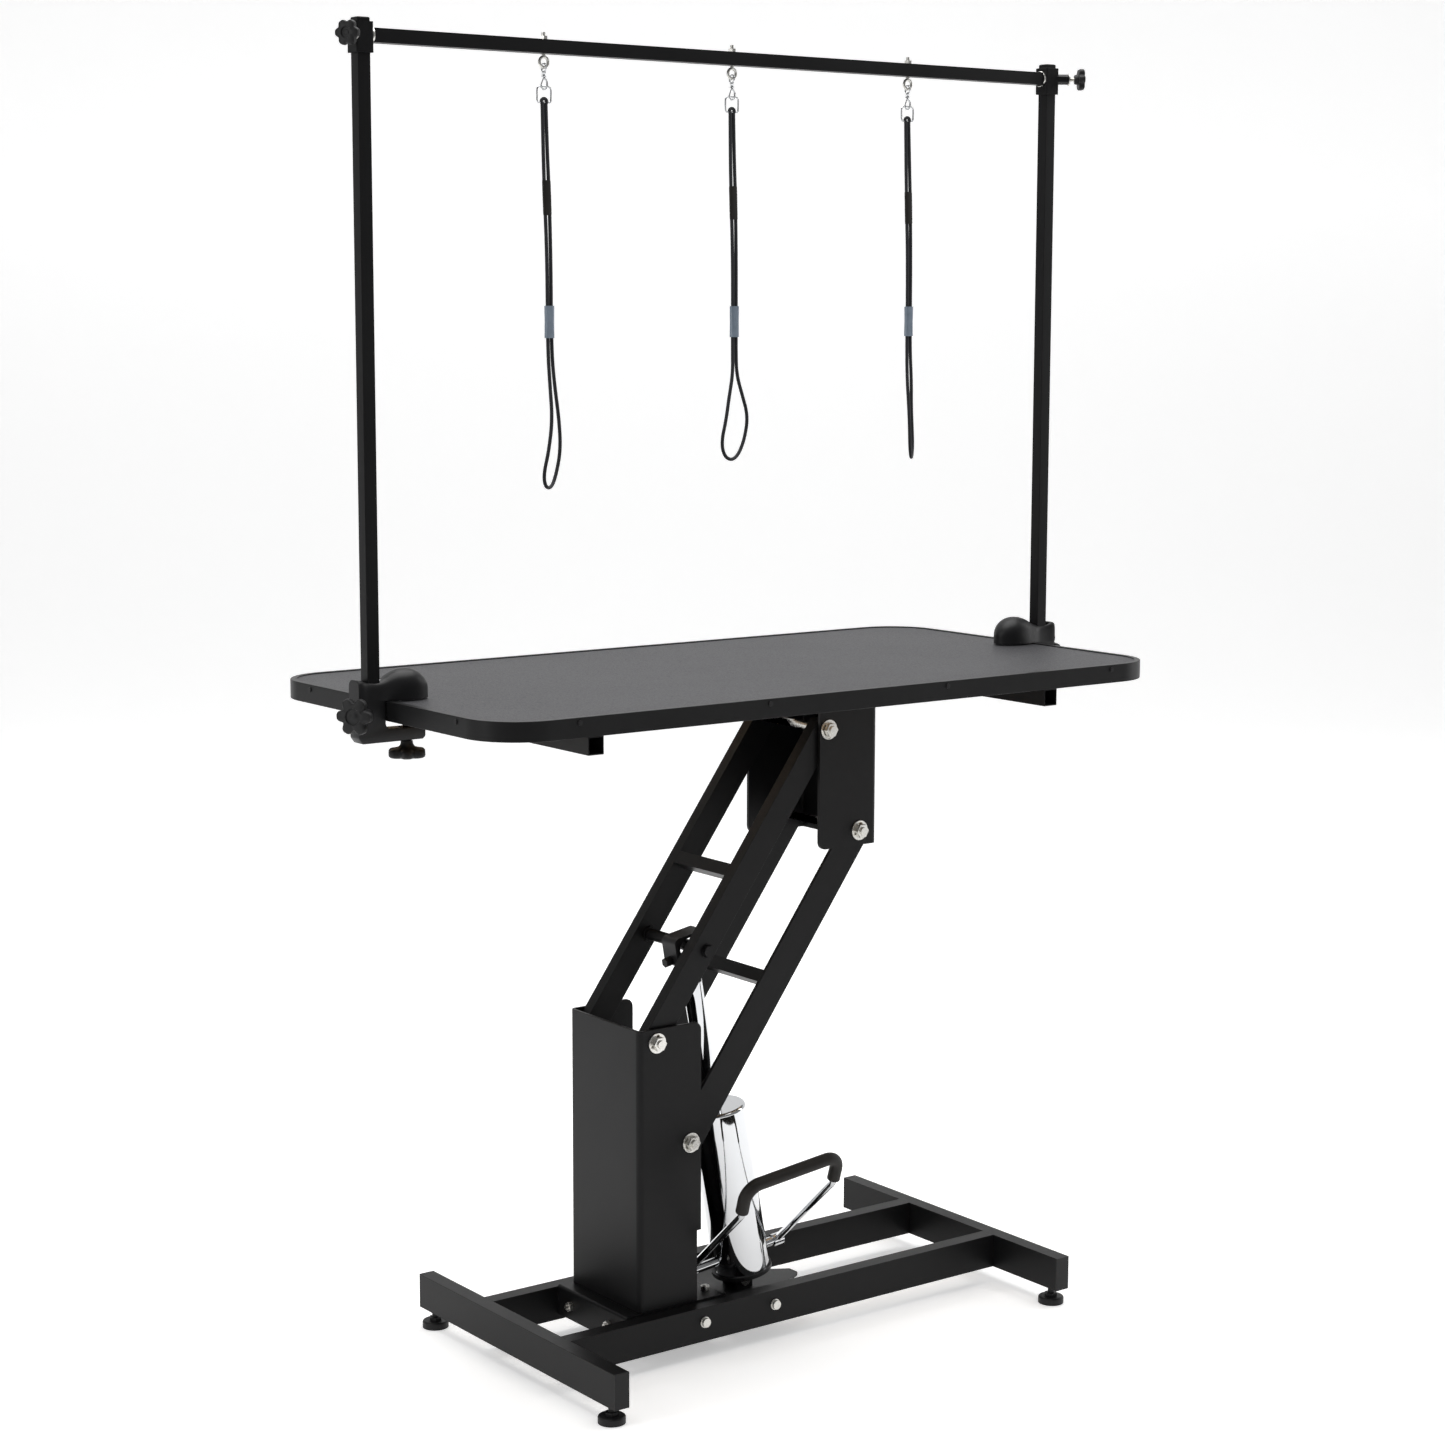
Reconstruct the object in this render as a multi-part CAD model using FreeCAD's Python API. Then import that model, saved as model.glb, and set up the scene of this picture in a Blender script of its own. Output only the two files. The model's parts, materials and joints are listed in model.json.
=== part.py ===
# Hydraulic Z-lift grooming table with an H-shaped grooming arm and three hanging loops.
# X runs along the tabletop, Y across it, Z up. The origin is on the floor, under the middle of the whole
# object's box, so the tabletop's own middle is at x = -box_middle. The lift is at the top of its travel.
import FreeCAD, Part
import math
import os

V = FreeCAD.Vector

# ---- Driving dimensions (mm) ----
# Tabletop
table_length = 1200.0
table_width = 624.0
table_top_z = 1015.5
mat_thickness = 5.0
trim_height = 27.5
trim_wall = 3.0
trim_lip = 9.0
trim_over_mat = 1.5
trim_edge_round = 1.2
corner_radius = 82.0
edge_screw_drop = 7.2
edge_screw_x = (-474.0, -158.0, 165.0, 492.0)
edge_screw_y = (-207.0, 191.0)
edge_screw_radius = 3.6
edge_screw_head = 1.6
# Frame under the tabletop
frame_tube = 25.0
frame_wall = 1.5
cross_tube_left_x = -448.0
cross_tube_right_x = 368.0
spine_width = 60.0
# Base
foot_left_x = -390.0
foot_right_x = 472.5
foot_length = 524.0
tube_width = 25.0
tube_height = 52.5
tube_wall = 2.0
tube_bottom_z = 26.6
rail_outer_y = 116.3
cap_plate = 2.5
cap_depth = 14.0
rail_bolt_x = (-125.5, 6.0)
rail_bolt_z = 56.5
rail_bolt_radius = 4.0
rail_bolt_flats = 14.0
rail_bolt_head = 6.0
rail_bolt_skirt = 1.5
rail_bolt_skirt_height = 1.6
rail_bolt_short = 0.5
bracket_bolt_z = 44.5
flange_bolt_y = (55.0, -46.0)
flange_bolt_z = 58.0
plate_bolt_x = -84.0
plate_bolt_y = 60.0
small_bolt_flats = 13.0
small_nut_height = 6.5
small_head_height = 5.0
flange_bolt_reach = 10.0
plate_bolt_reach = 8.0
# Column and top bracket, both U-channels
channel_half_width = 90.7
channel_depth = 112.0
channel_wall = 5.0
channel_bend = 9.0
column_left_x = -226.0
column_top_z = 508.0
column_base_top_z = 82.0
column_base_left_x = -250.0
column_base_right_x = -68.0
base_flange_depth = 46.0
base_wall = 5.0
base_bend = 4.0
flange_corner = 12.0
bracket_left_x = 106.0
bracket_bottom_z = 739.5
bracket_plate_lip = 6.0
flange_notch = 7.0
flange_notch_z = 190.0
# Linkage
pivot_a_x = -194.0
pivot_a_z = 487.0
arm_length = 538.0
arm_rest_angle = 54.0
link_x = 61.0
link_z = -160.0
upper_arm_depth = 40.0
upper_arm_width = 20.0
upper_arm_wall = 2.5
lower_arm_depth = 50.0
lower_arm_thickness = 6.0
arm_side_gap = 2.0
lower_arm_side_gap = 0.6
arm_crossbar = 20.0
arm_crossbar_wall = 2.0
upper_crossbar_along = 278.0
lower_crossbar_along = 268.0
pivot_bolt_radius = 6.0
pivot_head_flats = 19.0
pivot_head_height = 8.0
pivot_bolt_proud = 3.0
washer_radius = 15.0
washer_thickness = 2.0
bush_radius = 11.0
# Lift shaft
shaft_along = 156.0
shaft_drop = 5.0
shaft_radius = 9.0
shaft_bolt_flats = 17.0
shaft_bolt_height = 7.0
shaft_collar = 3.0
shaft_collar_length = 5.0
shaft_washer = 2.0
shaft_washer_height = 1.5
# Hydraulic unit
pump_y = -31.0
pump_pivot_x = -1.0
pump_pivot_z = 78.0
cover_radius = 43.5
cover_wall = 1.5
cover_start = 15.0
cover_end = 280.0
cover_shift = 10.0
cover_ram_gap = 0.4
cover_pedal_gap = 1.0
cover_round = 5.0
cylinder_radius = 25.0
ram_clearance = 0.1
cylinder_start = 62.0
cylinder_end = 276.0
ram_radius = 15.0
ram_start = 226.0
ram_head = 26.0
eye_length = 62.0
eye_height = 46.0
eye_width = 34.0
eye_slot_side = 14.0
eye_slot_high = 6.5
eye_corner = 9.0
eye_bolt_flats = 13.0
eye_bolt_length = 12.0
eye_bolt_drop = 15.0
pump_pin_radius = 6.0
pump_pin_lip = 2.5
pump_plate_middle_x = 5.0
pump_plate_half_length = 52.0
pump_plate_top_z = 66.0
pump_plate_thickness = 6.0
pump_plate_tip_x = 108.0
pump_plate_tip_half = 10.0
pump_plate_tip_root = 40.0
pump_plate_flange_z = 34.6
ear_thickness = 6.0
ear_radius = 14.0
lug_width = 26.0
lug_radius = 11.5
lug_side_gap = 0.3
pump_foot_start = 18.0
pump_foot_end = 28.0
pump_rim_start = 9.0
pump_rim_lip = 3.0
pump_rim_wall = 4.0
pump_foot_gap = 0.2
pump_block_wall = 5.0
# Foot pedal
pedal_along = 36.0
pedal_tilt = 6.5
pedal_side_left = 90.0
pedal_side_right = 82.0
pedal_leg_length = 205.0
pedal_leg_angle = 40.5
pedal_toe_length = 52.5
pedal_toe_angle = 66.8
pedal_leg_radius = 5.5
pedal_knee_radius = 16.0
pedal_corner_radius = 24.0
pedal_shaft_radius = 7.0
pedal_collar_radius = 9.5
pedal_collar_length = 18.0
grip_radius = 9.8
grip_start = 8.0
# Arm over the table
arm_y = -12.0
post_side = 19.0
post_wall = 1.5
post_centre_x = 617.0
post_bottom_z = 962.0
post_top_z = 1926.0
post_cap = 2.5
post_cap_round = 2.0
crossbar_side = 19.0
crossbar_wall = 1.5
bar_washer = 4.0
bar_plug = 8.0
bar_washer_lip = 1.5
crossbar_top_z = 1915.0
sleeve_side = 26.0
sleeve_bottom_z = 1882.0
sleeve_height = 40.5
sleeve_boss_flats = 14.0
left_boss_height = 8.0
right_boss_height = 20.0
sleeve_corner = 2.0
slide_gap = 0.3
# Clamps
clamp_width = 26.0
table_gap = 0.6
clamp_outer_x = 635.0
clamp_reach_top = 521.0
clamp_reach_jaw = 530.0
clamp_top_z = 1045.0
clamp_hump_z = 1058.0
clamp_dome_radius = 25.0
clamp_dome_round = 20.0
clamp_break = 5.0
clamp_bottom_z = 958.5
jaw_thickness = 18.0
clamp_screw_x = 561.0
clamp_screw_radius = 6.0
clamp_knob_radius = 27.5
clamp_knob_height = 13.0
clamp_neck_length = 13.0
clamp_neck_top = 2.0
clamp_neck_radius = 8.5
pad_radius = 13.0
pad_height = 5.0
pad_gap = 0.3
# Star knobs
lock_knob_z = 1000.0
lock_knob_radius = 26.5
lock_knob_height = 11.0
sleeve_knob_radius = 17.5
sleeve_knob_height = 9.5
knob_turn = 32.0
lock_boss_radius = 9.0
lock_boss_height = 7.0
lock_knob_gap = 22.0
left_knob_gap = 17.0
right_knob_gap = 36.0
right_hub_length = 6.0
sleeve_rod_radius = 3.0
lock_stud_radius = 4.0
lobe_share = 0.28
big_knob_lobes = 6
small_knob_lobes = 6
hub_gap = 1.0
boss_gap = 0.5
hub_share = 0.42
# Loops
eye_bolt_x = (-328.0, -3.0, 330.0)
eye_ring_drop = 11.5
eye_ring_radius = 7.0
eye_wire_radius = 2.2
eye_shank_radius = 3.0
eye_shank_proud = 10.0
eye_nut_flats = 10.0
eye_nut_height = 5.0
rope_radius = 2.6
snap_ring_radius = 6.0
snap_wire_radius = 2.0
snap_body_top = 17.0
snap_body_bottom = 29.0
snap_body_radius = 4.2
snap_hook_radius = 6.5
d_ring_half_width = 12.0
d_ring_wire_radius = 1.8
d_ring_bottom = 56.0
d_ring_shoulder = 3.0
ring_gap = 0.4
slider_length = 45.0
slider_bottom_z = 1506.0
slider_wall = 1.3
slider_clearance = 0.6
rope_pinch_z = 1490
run_share = 0.45
loop_turn = 37.0
# Levelling feet
pad_foot_radius = 20.0
pad_foot_height = 11.0
pad_foot_edge = 3.0
stem_radius = 5.0
stem_top_z = 42.6
stem_nut_flats = 17.0
stem_nut_height = 5.0
foot_inset = 23.0
# Fits
cut_past = 1.0
pivot_clearance = 0.05
spacer_gap = 0.2
thread_clearance = 0.05

# ---- Worked out from them ----
trim_outer_x = table_length / 2
trim_outer_y = table_width / 2
board_bottom_z = table_top_z - trim_height
mat_top_z = table_top_z - trim_over_mat
board_top_z = mat_top_z - mat_thickness
frame_top_z = board_bottom_z
frame_bottom_z = frame_top_z - frame_tube
tube_top_z = tube_bottom_z + tube_height
rail_inner_y = rail_outer_y - tube_width
post_corner_reach = post_side / math.sqrt(2) + slide_gap
channel_inner_y = channel_half_width - channel_wall
arm_sin = math.sin(math.radians(arm_rest_angle))
arm_cos = math.cos(math.radians(arm_rest_angle))
pivot_a = V(pivot_a_x, 0, pivot_a_z)
pivot_b = pivot_a + V(link_x, 0, link_z)
pivot_c = pivot_a + V(arm_length * arm_cos, 0, arm_length * arm_sin)
pivot_d = pivot_c + V(link_x, 0, link_z)


def on_arm(pivot, along, side):
    """A point on an arm: along it from its lower pivot, and to its upper left side."""
    return pivot + V(along * arm_cos - side * arm_sin, 0, along * arm_sin + side * arm_cos)


shaft_axis = on_arm(pivot_a, shaft_along, -shaft_drop)
pump_pivot = V(pump_pivot_x, pump_y, pump_pivot_z)
pump_pin_reach = lug_width / 2 + lug_side_gap + ear_thickness
pump_reach = math.hypot(shaft_axis.x - pump_pivot_x, shaft_axis.z - pump_pivot_z)
pump_lean = math.degrees(math.atan2(shaft_axis.x - pump_pivot_x, shaft_axis.z - pump_pivot_z))


# ---- Helpers ----
def box(x0, x1, y0, y1, z0, z1):
    return Part.makeBox(x1 - x0, y1 - y0, z1 - z0, V(x0, y0, z0))


def rod(radius, start, end):
    return Part.makeCylinder(radius, (end - start).Length, start, end - start)


def ring(outer, inner, start, end):
    return rod(outer, start, end).cut(rod(inner, start, end))


def hexagon(flats, start, end):
    """A hexagonal prism from start to end, as wide across its flats as given."""
    axis = end - start
    side = flats / math.sqrt(3)
    points = [V(side * math.cos(a), side * math.sin(a), 0) for a in [math.radians(60 * i) for i in range(7)]]
    prism = Part.Face(Part.makePolygon(points)).extrude(V(0, 0, axis.Length))
    prism.Placement = FreeCAD.Placement(start, FreeCAD.Rotation(V(0, 0, 1), axis))
    return prism


def tube(x0, x1, y0, y1, z0, z1, wall, along):
    """A rectangular tube open at both ends, running along X, Y or Z."""
    grow = {"x": (0, wall, wall), "y": (wall, 0, wall), "z": (wall, wall, 0)}[along]
    inner = box(x0 + grow[0], x1 - grow[0], y0 + grow[1], y1 - grow[1], z0 + grow[2], z1 - grow[2])
    return box(x0, x1, y0, y1, z0, z1).cut(inner)


def edges_along(shape, axis, test):
    """The straight edges of a shape that run along an axis and whose middle passes the test."""
    found = []
    for edge in shape.Edges:
        ends = [v.Point for v in edge.Vertexes]
        if len(ends) == 2 and abs((ends[1] - ends[0]).normalize() * axis) > 0.999:
            if test(edge.CenterOfMass):
                found.append(edge)
    return found


def solids(pieces):
    return Part.makeCompound(pieces)


def mirror_x(shape):
    return shape.mirror(V(0, 0, 0), V(1, 0, 0))


def half_turned(shape):
    """The same piece turned half round to the table's other end."""
    turned_piece = shape.copy()
    turned_piece.rotate(V(0, arm_y, 0), V(0, 0, 1), 180)
    return turned_piece


def save(name, shape):
    """Writes one sub-part, moved so that the origin is under the middle of the object's box."""
    moved = shape.copy()
    moved.translate(V(-box_middle, 0, 0))
    moved.exportStep("parts/" + name + ".step")
    if not shape.isValid():
        print("not valid:", name)


# ---- Base ----
def cross_foot(x0):
    y1 = foot_length / 2
    foot = tube(x0, x0 + tube_width, -y1, y1, tube_bottom_z, tube_top_z, tube_wall, "y")
    for y in (-y1 + foot_inset, y1 - foot_inset):
        centre = V(x0 + tube_width / 2, y, 0)
        hole = rod(stem_radius + thread_clearance, centre, centre + V(0, 0, tube_bottom_z + tube_wall + cut_past))
        foot = foot.cut(hole)
    return foot


def end_cap(x0, sign):
    y = sign * foot_length / 2
    plate = box(x0, x0 + tube_width, min(y, y + sign * cap_plate), max(y, y + sign * cap_plate),
                tube_bottom_z, tube_top_z)
    plug_y = y - sign * cap_depth
    plug = box(x0 + tube_wall, x0 + tube_width - tube_wall, min(y, plug_y), max(y, plug_y),
               tube_bottom_z + tube_wall, tube_top_z - tube_wall)
    return plate.fuse(plug).removeSplitter()


def rail(sign):
    x0 = foot_left_x + tube_width
    x1 = foot_right_x - tube_width
    y = sorted((sign * rail_inner_y, sign * rail_outer_y))
    body = tube(x0, x1, y[0], y[1], tube_bottom_z, tube_top_z, tube_wall, "x")
    for x in rail_bolt_x:
        body = body.cut(rod(rail_bolt_radius, V(x, y[0] - cut_past, rail_bolt_z), V(x, y[1] + cut_past, rail_bolt_z)))
    return body


def column_base():
    """A folded channel between the rails: a top plate with a flange down each side."""
    outer = box(column_base_left_x, column_base_right_x, -rail_inner_y, rail_inner_y,
                column_base_top_z - base_flange_depth, column_base_top_z)
    inner = box(column_base_left_x + base_wall, column_base_right_x - base_wall, -rail_inner_y, rail_inner_y,
                column_base_top_z - base_flange_depth, column_base_top_z - base_wall)
    body = outer.cut(inner)
    bends = edges_along(body, V(0, 1, 0), lambda c: c.z > column_base_top_z - 0.1)
    body = body.makeFillet(base_bend, bends)
    for y in flange_bolt_y:
        body = body.cut(rod(rail_bolt_radius, V(column_base_left_x - cut_past, y, flange_bolt_z),
                            V(column_base_left_x + base_wall + cut_past, y, flange_bolt_z)))
    for y in (-plate_bolt_y, plate_bolt_y):
        body = body.cut(rod(rail_bolt_radius, V(plate_bolt_x, y, column_base_top_z - base_wall - cut_past),
                            V(plate_bolt_x, y, column_base_top_z + cut_past)))
    return body


def pump_bracket():
    """A plate between the rails with folded ends, a pointed tip, and two ears for the pump's pin."""
    x0 = pump_plate_middle_x - pump_plate_half_length
    x1 = pump_plate_middle_x + pump_plate_half_length
    z0 = pump_plate_top_z - pump_plate_thickness
    body = box(x0, x1, -rail_inner_y, rail_inner_y, z0, pump_plate_top_z)
    tip = Part.Face(Part.makePolygon([
        V(x1, pump_y - pump_plate_tip_root, z0), V(pump_plate_tip_x, pump_y - pump_plate_tip_half, z0),
        V(pump_plate_tip_x, pump_y + pump_plate_tip_half, z0), V(x1, pump_y + pump_plate_tip_root, z0),
        V(x1, pump_y - pump_plate_tip_root, z0)]))
    body = body.fuse(tip.extrude(V(0, 0, pump_plate_thickness)))
    for sign in (-1, 1):
        y = sorted((sign * rail_inner_y, sign * (rail_inner_y - base_wall)))
        body = body.fuse(box(x0, x1, y[0], y[1], pump_plate_flange_z, z0))
        body = body.cut(rod(rail_bolt_radius, V(rail_bolt_x[1], y[0] - cut_past, bracket_bolt_z),
                            V(rail_bolt_x[1], y[1] + cut_past, bracket_bolt_z)))
        body = body.fuse(pump_ear(sign))
    body = body.cut(rod(pump_pin_radius, pump_pivot - V(0, pump_pin_reach, 0), pump_pivot + V(0, pump_pin_reach, 0)))
    return body.removeSplitter()


def pump_ear(sign):
    """One upright ear beside the pump's lug, standing on the plate."""
    near = pump_y + sign * (lug_width / 2 + lug_side_gap)
    y = sorted((near, near + sign * ear_thickness))
    ear = box(pump_pivot_x - ear_radius, pump_pivot_x + ear_radius, y[0], y[1], pump_plate_top_z, pump_pivot_z)
    eye = rod(ear_radius, V(pump_pivot_x, y[0], pump_pivot_z), V(pump_pivot_x, y[1], pump_pivot_z))
    below = box(pump_pivot_x - ear_radius, pump_pivot_x + ear_radius, y[0], y[1], 0, pump_plate_top_z)
    return ear.fuse(eye).cut(below)


def pump_pin():
    start = pump_pivot - V(0, pump_pin_reach, 0)
    end = pump_pivot + V(0, pump_pin_reach, 0)
    lip = V(0, pump_pin_lip, 0)
    pin = rod(pump_pin_radius, start, end)
    pin = pin.fuse(rod(pump_pin_radius + pump_pin_lip, start - lip, start))
    return pin.fuse(rod(pump_pin_radius + pump_pin_lip, end, end + lip)).removeSplitter()


def base_bolt(face, out, wall, reach):
    """A hexagon head on the inside of a wall, its shank through the wall, and a nut on the outside."""
    inside = face - out * wall
    head = hexagon(small_bolt_flats, inside - out * small_head_height, inside)
    bolt = rod(rail_bolt_radius, inside, face + out * reach).fuse(head).removeSplitter()
    nut = hexagon(small_bolt_flats, face, face + out * small_nut_height)
    return [bolt, nut.cut(rod(rail_bolt_radius, face - out, face + out * reach))]


def frame_bolts():
    """Domed bolts through both rails, bolts and nuts in the column's base channel, and the pump's pin."""
    pieces = []
    for sign in (-1, 1):
        for x in rail_bolt_x:
            face = V(x, sign * rail_outer_y, rail_bolt_z)
            out = V(0, sign, 0)
            shank = rod(rail_bolt_radius, face, face - out * (tube_width - rail_bolt_short))
            brim = face + out * rail_bolt_skirt_height
            head = rod(rail_bolt_flats / 2 + rail_bolt_skirt, face, brim)
            head = head.fuse(rod(rail_bolt_flats / 2, brim, face + out * rail_bolt_head))
            pieces.append(shank.fuse(head).removeSplitter())
    for y in flange_bolt_y:
        pieces += base_bolt(V(column_base_left_x, y, flange_bolt_z), V(-1, 0, 0), base_wall, flange_bolt_reach)
    for y in (-plate_bolt_y, plate_bolt_y):
        pieces += base_bolt(V(plate_bolt_x, y, column_base_top_z), V(0, 0, 1), base_wall, plate_bolt_reach)
    pieces.append(pump_pin())
    return solids(pieces)


def channel(x0, x1, z0, z1, web_on_left):
    """An upright U-channel with rounded bends, its web on one side and open on the other."""
    body = box(x0, x1, -channel_half_width, channel_half_width, z0, z1)
    web_x = x0 if web_on_left else x1
    body = body.makeFillet(channel_bend, edges_along(body, V(0, 0, 1), lambda c: abs(c.x - web_x) < 0.1))
    inner_x = (x0 + channel_wall, x1 + cut_past) if web_on_left else (x0 - cut_past, x1 - channel_wall)
    inner = box(inner_x[0], inner_x[1], -channel_inner_y, channel_inner_y, z0 - cut_past, z1 + cut_past)
    deep_x = inner_x[0] if web_on_left else inner_x[1]
    inner = inner.makeFillet(channel_bend - channel_wall,
                             edges_along(inner, V(0, 0, 1), lambda c: abs(c.x - deep_x) < 0.1))
    return body.cut(inner)


def drill_pivots(body, pivots):
    for p in pivots:
        body = body.cut(rod(pivot_bolt_radius, p + V(0, -channel_half_width - cut_past, 0),
                            p + V(0, channel_half_width + cut_past, 0)))
    return body


def column():
    right = column_left_x + channel_depth
    body = channel(column_left_x, right, column_base_top_z, column_top_z, True)
    notch_y = channel_half_width + cut_past
    body = body.cut(box(right - flange_notch, right + cut_past, -notch_y, notch_y,
                        column_base_top_z - cut_past, flange_notch_z))
    corners = edges_along(body, V(0, 1, 0), lambda c: c.z > column_top_z - 0.1 and c.x > right - 0.1)
    body = body.makeFillet(flange_corner, corners)
    return drill_pivots(body, (pivot_a, pivot_b))


def top_bracket():
    """The channel that hangs under the frame, with a welded top plate that the spine tube rests on."""
    right = bracket_left_x + channel_depth
    body = channel(bracket_left_x, right, bracket_bottom_z, frame_bottom_z - channel_wall, False)
    corners = edges_along(body, V(0, 1, 0),
                          lambda c: c.z < bracket_bottom_z + 0.1 and c.x < bracket_left_x + 0.1)
    body = body.makeFillet(flange_corner, corners)
    plate = box(bracket_left_x - bracket_plate_lip, right + bracket_plate_lip, -channel_half_width,
                channel_half_width, frame_bottom_z - channel_wall, frame_bottom_z)
    return drill_pivots(body.fuse(plate).removeSplitter(), (pivot_c, pivot_d))


def pivot_bolts(pivots, spacers):
    """Long bolts through both flanges, each with a nut at the front and washers outside and inside."""
    pieces = []
    outside = channel_half_width + washer_thickness
    for p, spacer in zip(pivots, spacers):
        head_start = p + V(0, outside, 0)
        shank = rod(pivot_bolt_radius, p - V(0, outside + pivot_head_height + pivot_bolt_proud, 0), head_start)
        pieces.append(shank.fuse(hexagon(pivot_head_flats, head_start, head_start + V(0, pivot_head_height, 0)))
                      .removeSplitter())
        nut_start = p + V(0, -outside, 0)
        nut_end = nut_start + V(0, -pivot_head_height, 0)
        nut = hexagon(pivot_head_flats, nut_start, nut_end)
        pieces.append(nut.cut(rod(pivot_bolt_radius, nut_start + V(0, 1, 0), nut_end - V(0, 1, 0))))
        for sign in (-1, 1):
            face = p + V(0, sign * channel_half_width, 0)
            pieces.append(ring(washer_radius, pivot_bolt_radius, face, face + V(0, sign * washer_thickness, 0)))
            inner = p + V(0, sign * channel_inner_y, 0)
            pieces.append(ring(bush_radius, pivot_bolt_radius, inner, inner - V(0, sign * spacer, 0)))
    return solids(pieces)


def levelling_foot(x, y):
    """A moulded foot pad with its threaded stem, screwed into the cross foot's underside."""
    pad = rod(pad_foot_radius, V(x, y, 0), V(x, y, pad_foot_height))
    pad = pad.makeFillet(pad_foot_edge, [e for e in pad.Edges if e.Curve.TypeId == "Part::GeomCircle"
                               and e.CenterOfMass.z > pad_foot_height - 0.1])
    nut = hexagon(stem_nut_flats, V(x, y, pad_foot_height), V(x, y, pad_foot_height + stem_nut_height))
    stem = rod(stem_radius, V(x, y, pad_foot_height), V(x, y, stem_top_z))
    return pad.fuse(nut).fuse(stem).removeSplitter()


# ---- Linkage ----
def turned(shape, pivot):
    """A shape built flat along +X from the origin, turned up to the arms' angle at a pivot."""
    shape.rotate(V(0, 0, 0), V(0, 1, 0), -arm_rest_angle)
    shape.translate(pivot)
    return shape


def slab(length, depth, y0, y1):
    """A bar along X with round ends, its end centres at 0 and at length."""
    half = depth / 2
    body = box(0, length, y0, y1, -half, half)
    for x in (0, length):
        body = body.fuse(rod(half, V(x, y0, 0), V(x, y1, 0)))
    return body.removeSplitter()


def upper_arm(sign):
    outer = channel_inner_y - arm_side_gap
    y = sorted((sign * outer, sign * (outer - upper_arm_width)))
    body = slab(arm_length, upper_arm_depth, y[0], y[1])
    half = upper_arm_depth / 2
    hollow = box(-half - cut_past, arm_length + half + cut_past, y[0] + upper_arm_wall, y[1] - upper_arm_wall,
                 -half + upper_arm_wall, half - upper_arm_wall)
    body = body.cut(hollow)
    hole = pivot_bolt_radius + pivot_clearance
    for x in (0, arm_length):
        body = body.fuse(rod(bush_radius, V(x, y[0], 0), V(x, y[1], 0)))
        body = body.cut(rod(hole, V(x, y[0] - cut_past, 0), V(x, y[1] + cut_past, 0)))
    seat = V(shaft_along, 0, -shaft_drop)
    body = body.cut(rod(shaft_radius, seat + V(0, y[0] - cut_past, 0), seat + V(0, y[1] + cut_past, 0)))
    return turned(body.removeSplitter(), pivot_a)


def lower_arm(sign):
    outer = channel_inner_y - lower_arm_side_gap
    y = sorted((sign * outer, sign * (outer - lower_arm_thickness)))
    body = slab(arm_length, lower_arm_depth, y[0], y[1])
    for x in (0, arm_length):
        body = body.cut(rod(pivot_bolt_radius + pivot_clearance, V(x, y[0] - cut_past, 0), V(x, y[1] + cut_past, 0)))
    return turned(body, pivot_b)


def arm_tie(along, depth, half_span, pivot):
    """A square tube between two arms, flush with their upper edges."""
    top = depth / 2
    body = tube(along - arm_crossbar / 2, along + arm_crossbar / 2, -half_span, half_span,
                top - arm_crossbar, top, arm_crossbar_wall, "y")
    return turned(body, pivot)


def lift_shaft():
    """The round bar through both upper arms, with a bolt head at each end."""
    outer = channel_inner_y - arm_side_gap
    inner = outer - upper_arm_width
    shaft = rod(shaft_radius, V(0, -outer, 0), V(0, outer, 0))
    for sign in (-1, 1):
        collar = V(0, sign * inner, 0)
        shaft = shaft.fuse(rod(shaft_radius + shaft_collar, collar, collar - V(0, sign * shaft_collar_length, 0)))
        face = V(0, sign * outer, 0)
        brim = face + V(0, sign * shaft_washer_height, 0)
        shaft = shaft.fuse(rod(shaft_bolt_flats / 2 + shaft_washer, face, brim))
        shaft = shaft.fuse(hexagon(shaft_bolt_flats, brim, face + V(0, sign * shaft_bolt_height, 0)))
    shaft.translate(shaft_axis)
    return shaft.removeSplitter()


# ---- Hydraulic unit, built upright at the origin and leaned to the lift shaft ----
def leaned(shape):
    shape.rotate(V(0, 0, 0), V(0, 1, 0), pump_lean)
    shape.translate(pump_pivot)
    return shape


def pedal_hole(radius):
    """The pedal shaft's path through the pump, tilted to the pump's own axis."""
    half = V(2 * cover_radius, 0, 0)
    hole = rod(radius, -half, half)
    hole.rotate(V(0, 0, 0), V(0, 1, 0), -pedal_tilt - pump_lean)
    hole.translate(V(0, 0, pedal_along))
    return hole


def pump_base():
    """The casting: a lug on the pivot pin, a foot with a rim under the cover, and the pedal shaft's block."""
    half = lug_width / 2
    lug = rod(lug_radius, V(0, -half, 0), V(0, half, 0))
    lug = lug.fuse(box(-lug_radius, lug_radius, -half, half, 0, pump_foot_end))
    middle = V(cover_shift, 0, 0)
    plug_radius = cover_radius - cover_wall - pump_foot_gap
    bore = plug_radius - pump_rim_wall
    foot = rod(plug_radius, middle + V(0, 0, pump_foot_start), middle + V(0, 0, pump_foot_end))
    foot = foot.fuse(ring(plug_radius, bore, middle + V(0, 0, pump_rim_start), middle + V(0, 0, pump_foot_start)))
    foot = foot.fuse(ring(cover_radius + pump_rim_lip, bore, middle + V(0, 0, pump_rim_start),
                          middle + V(0, 0, cover_start)))
    block = rod(cylinder_radius + pump_block_wall, V(0, 0, pump_foot_end), V(0, 0, cylinder_start))
    body = lug.fuse(foot).fuse(block)
    body = body.cut(rod(pump_pin_radius + pivot_clearance, V(0, -half - cut_past, 0), V(0, half + cut_past, 0)))
    body = body.cut(pedal_hole(pedal_shaft_radius + pivot_clearance))
    return leaned(body.removeSplitter())


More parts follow.
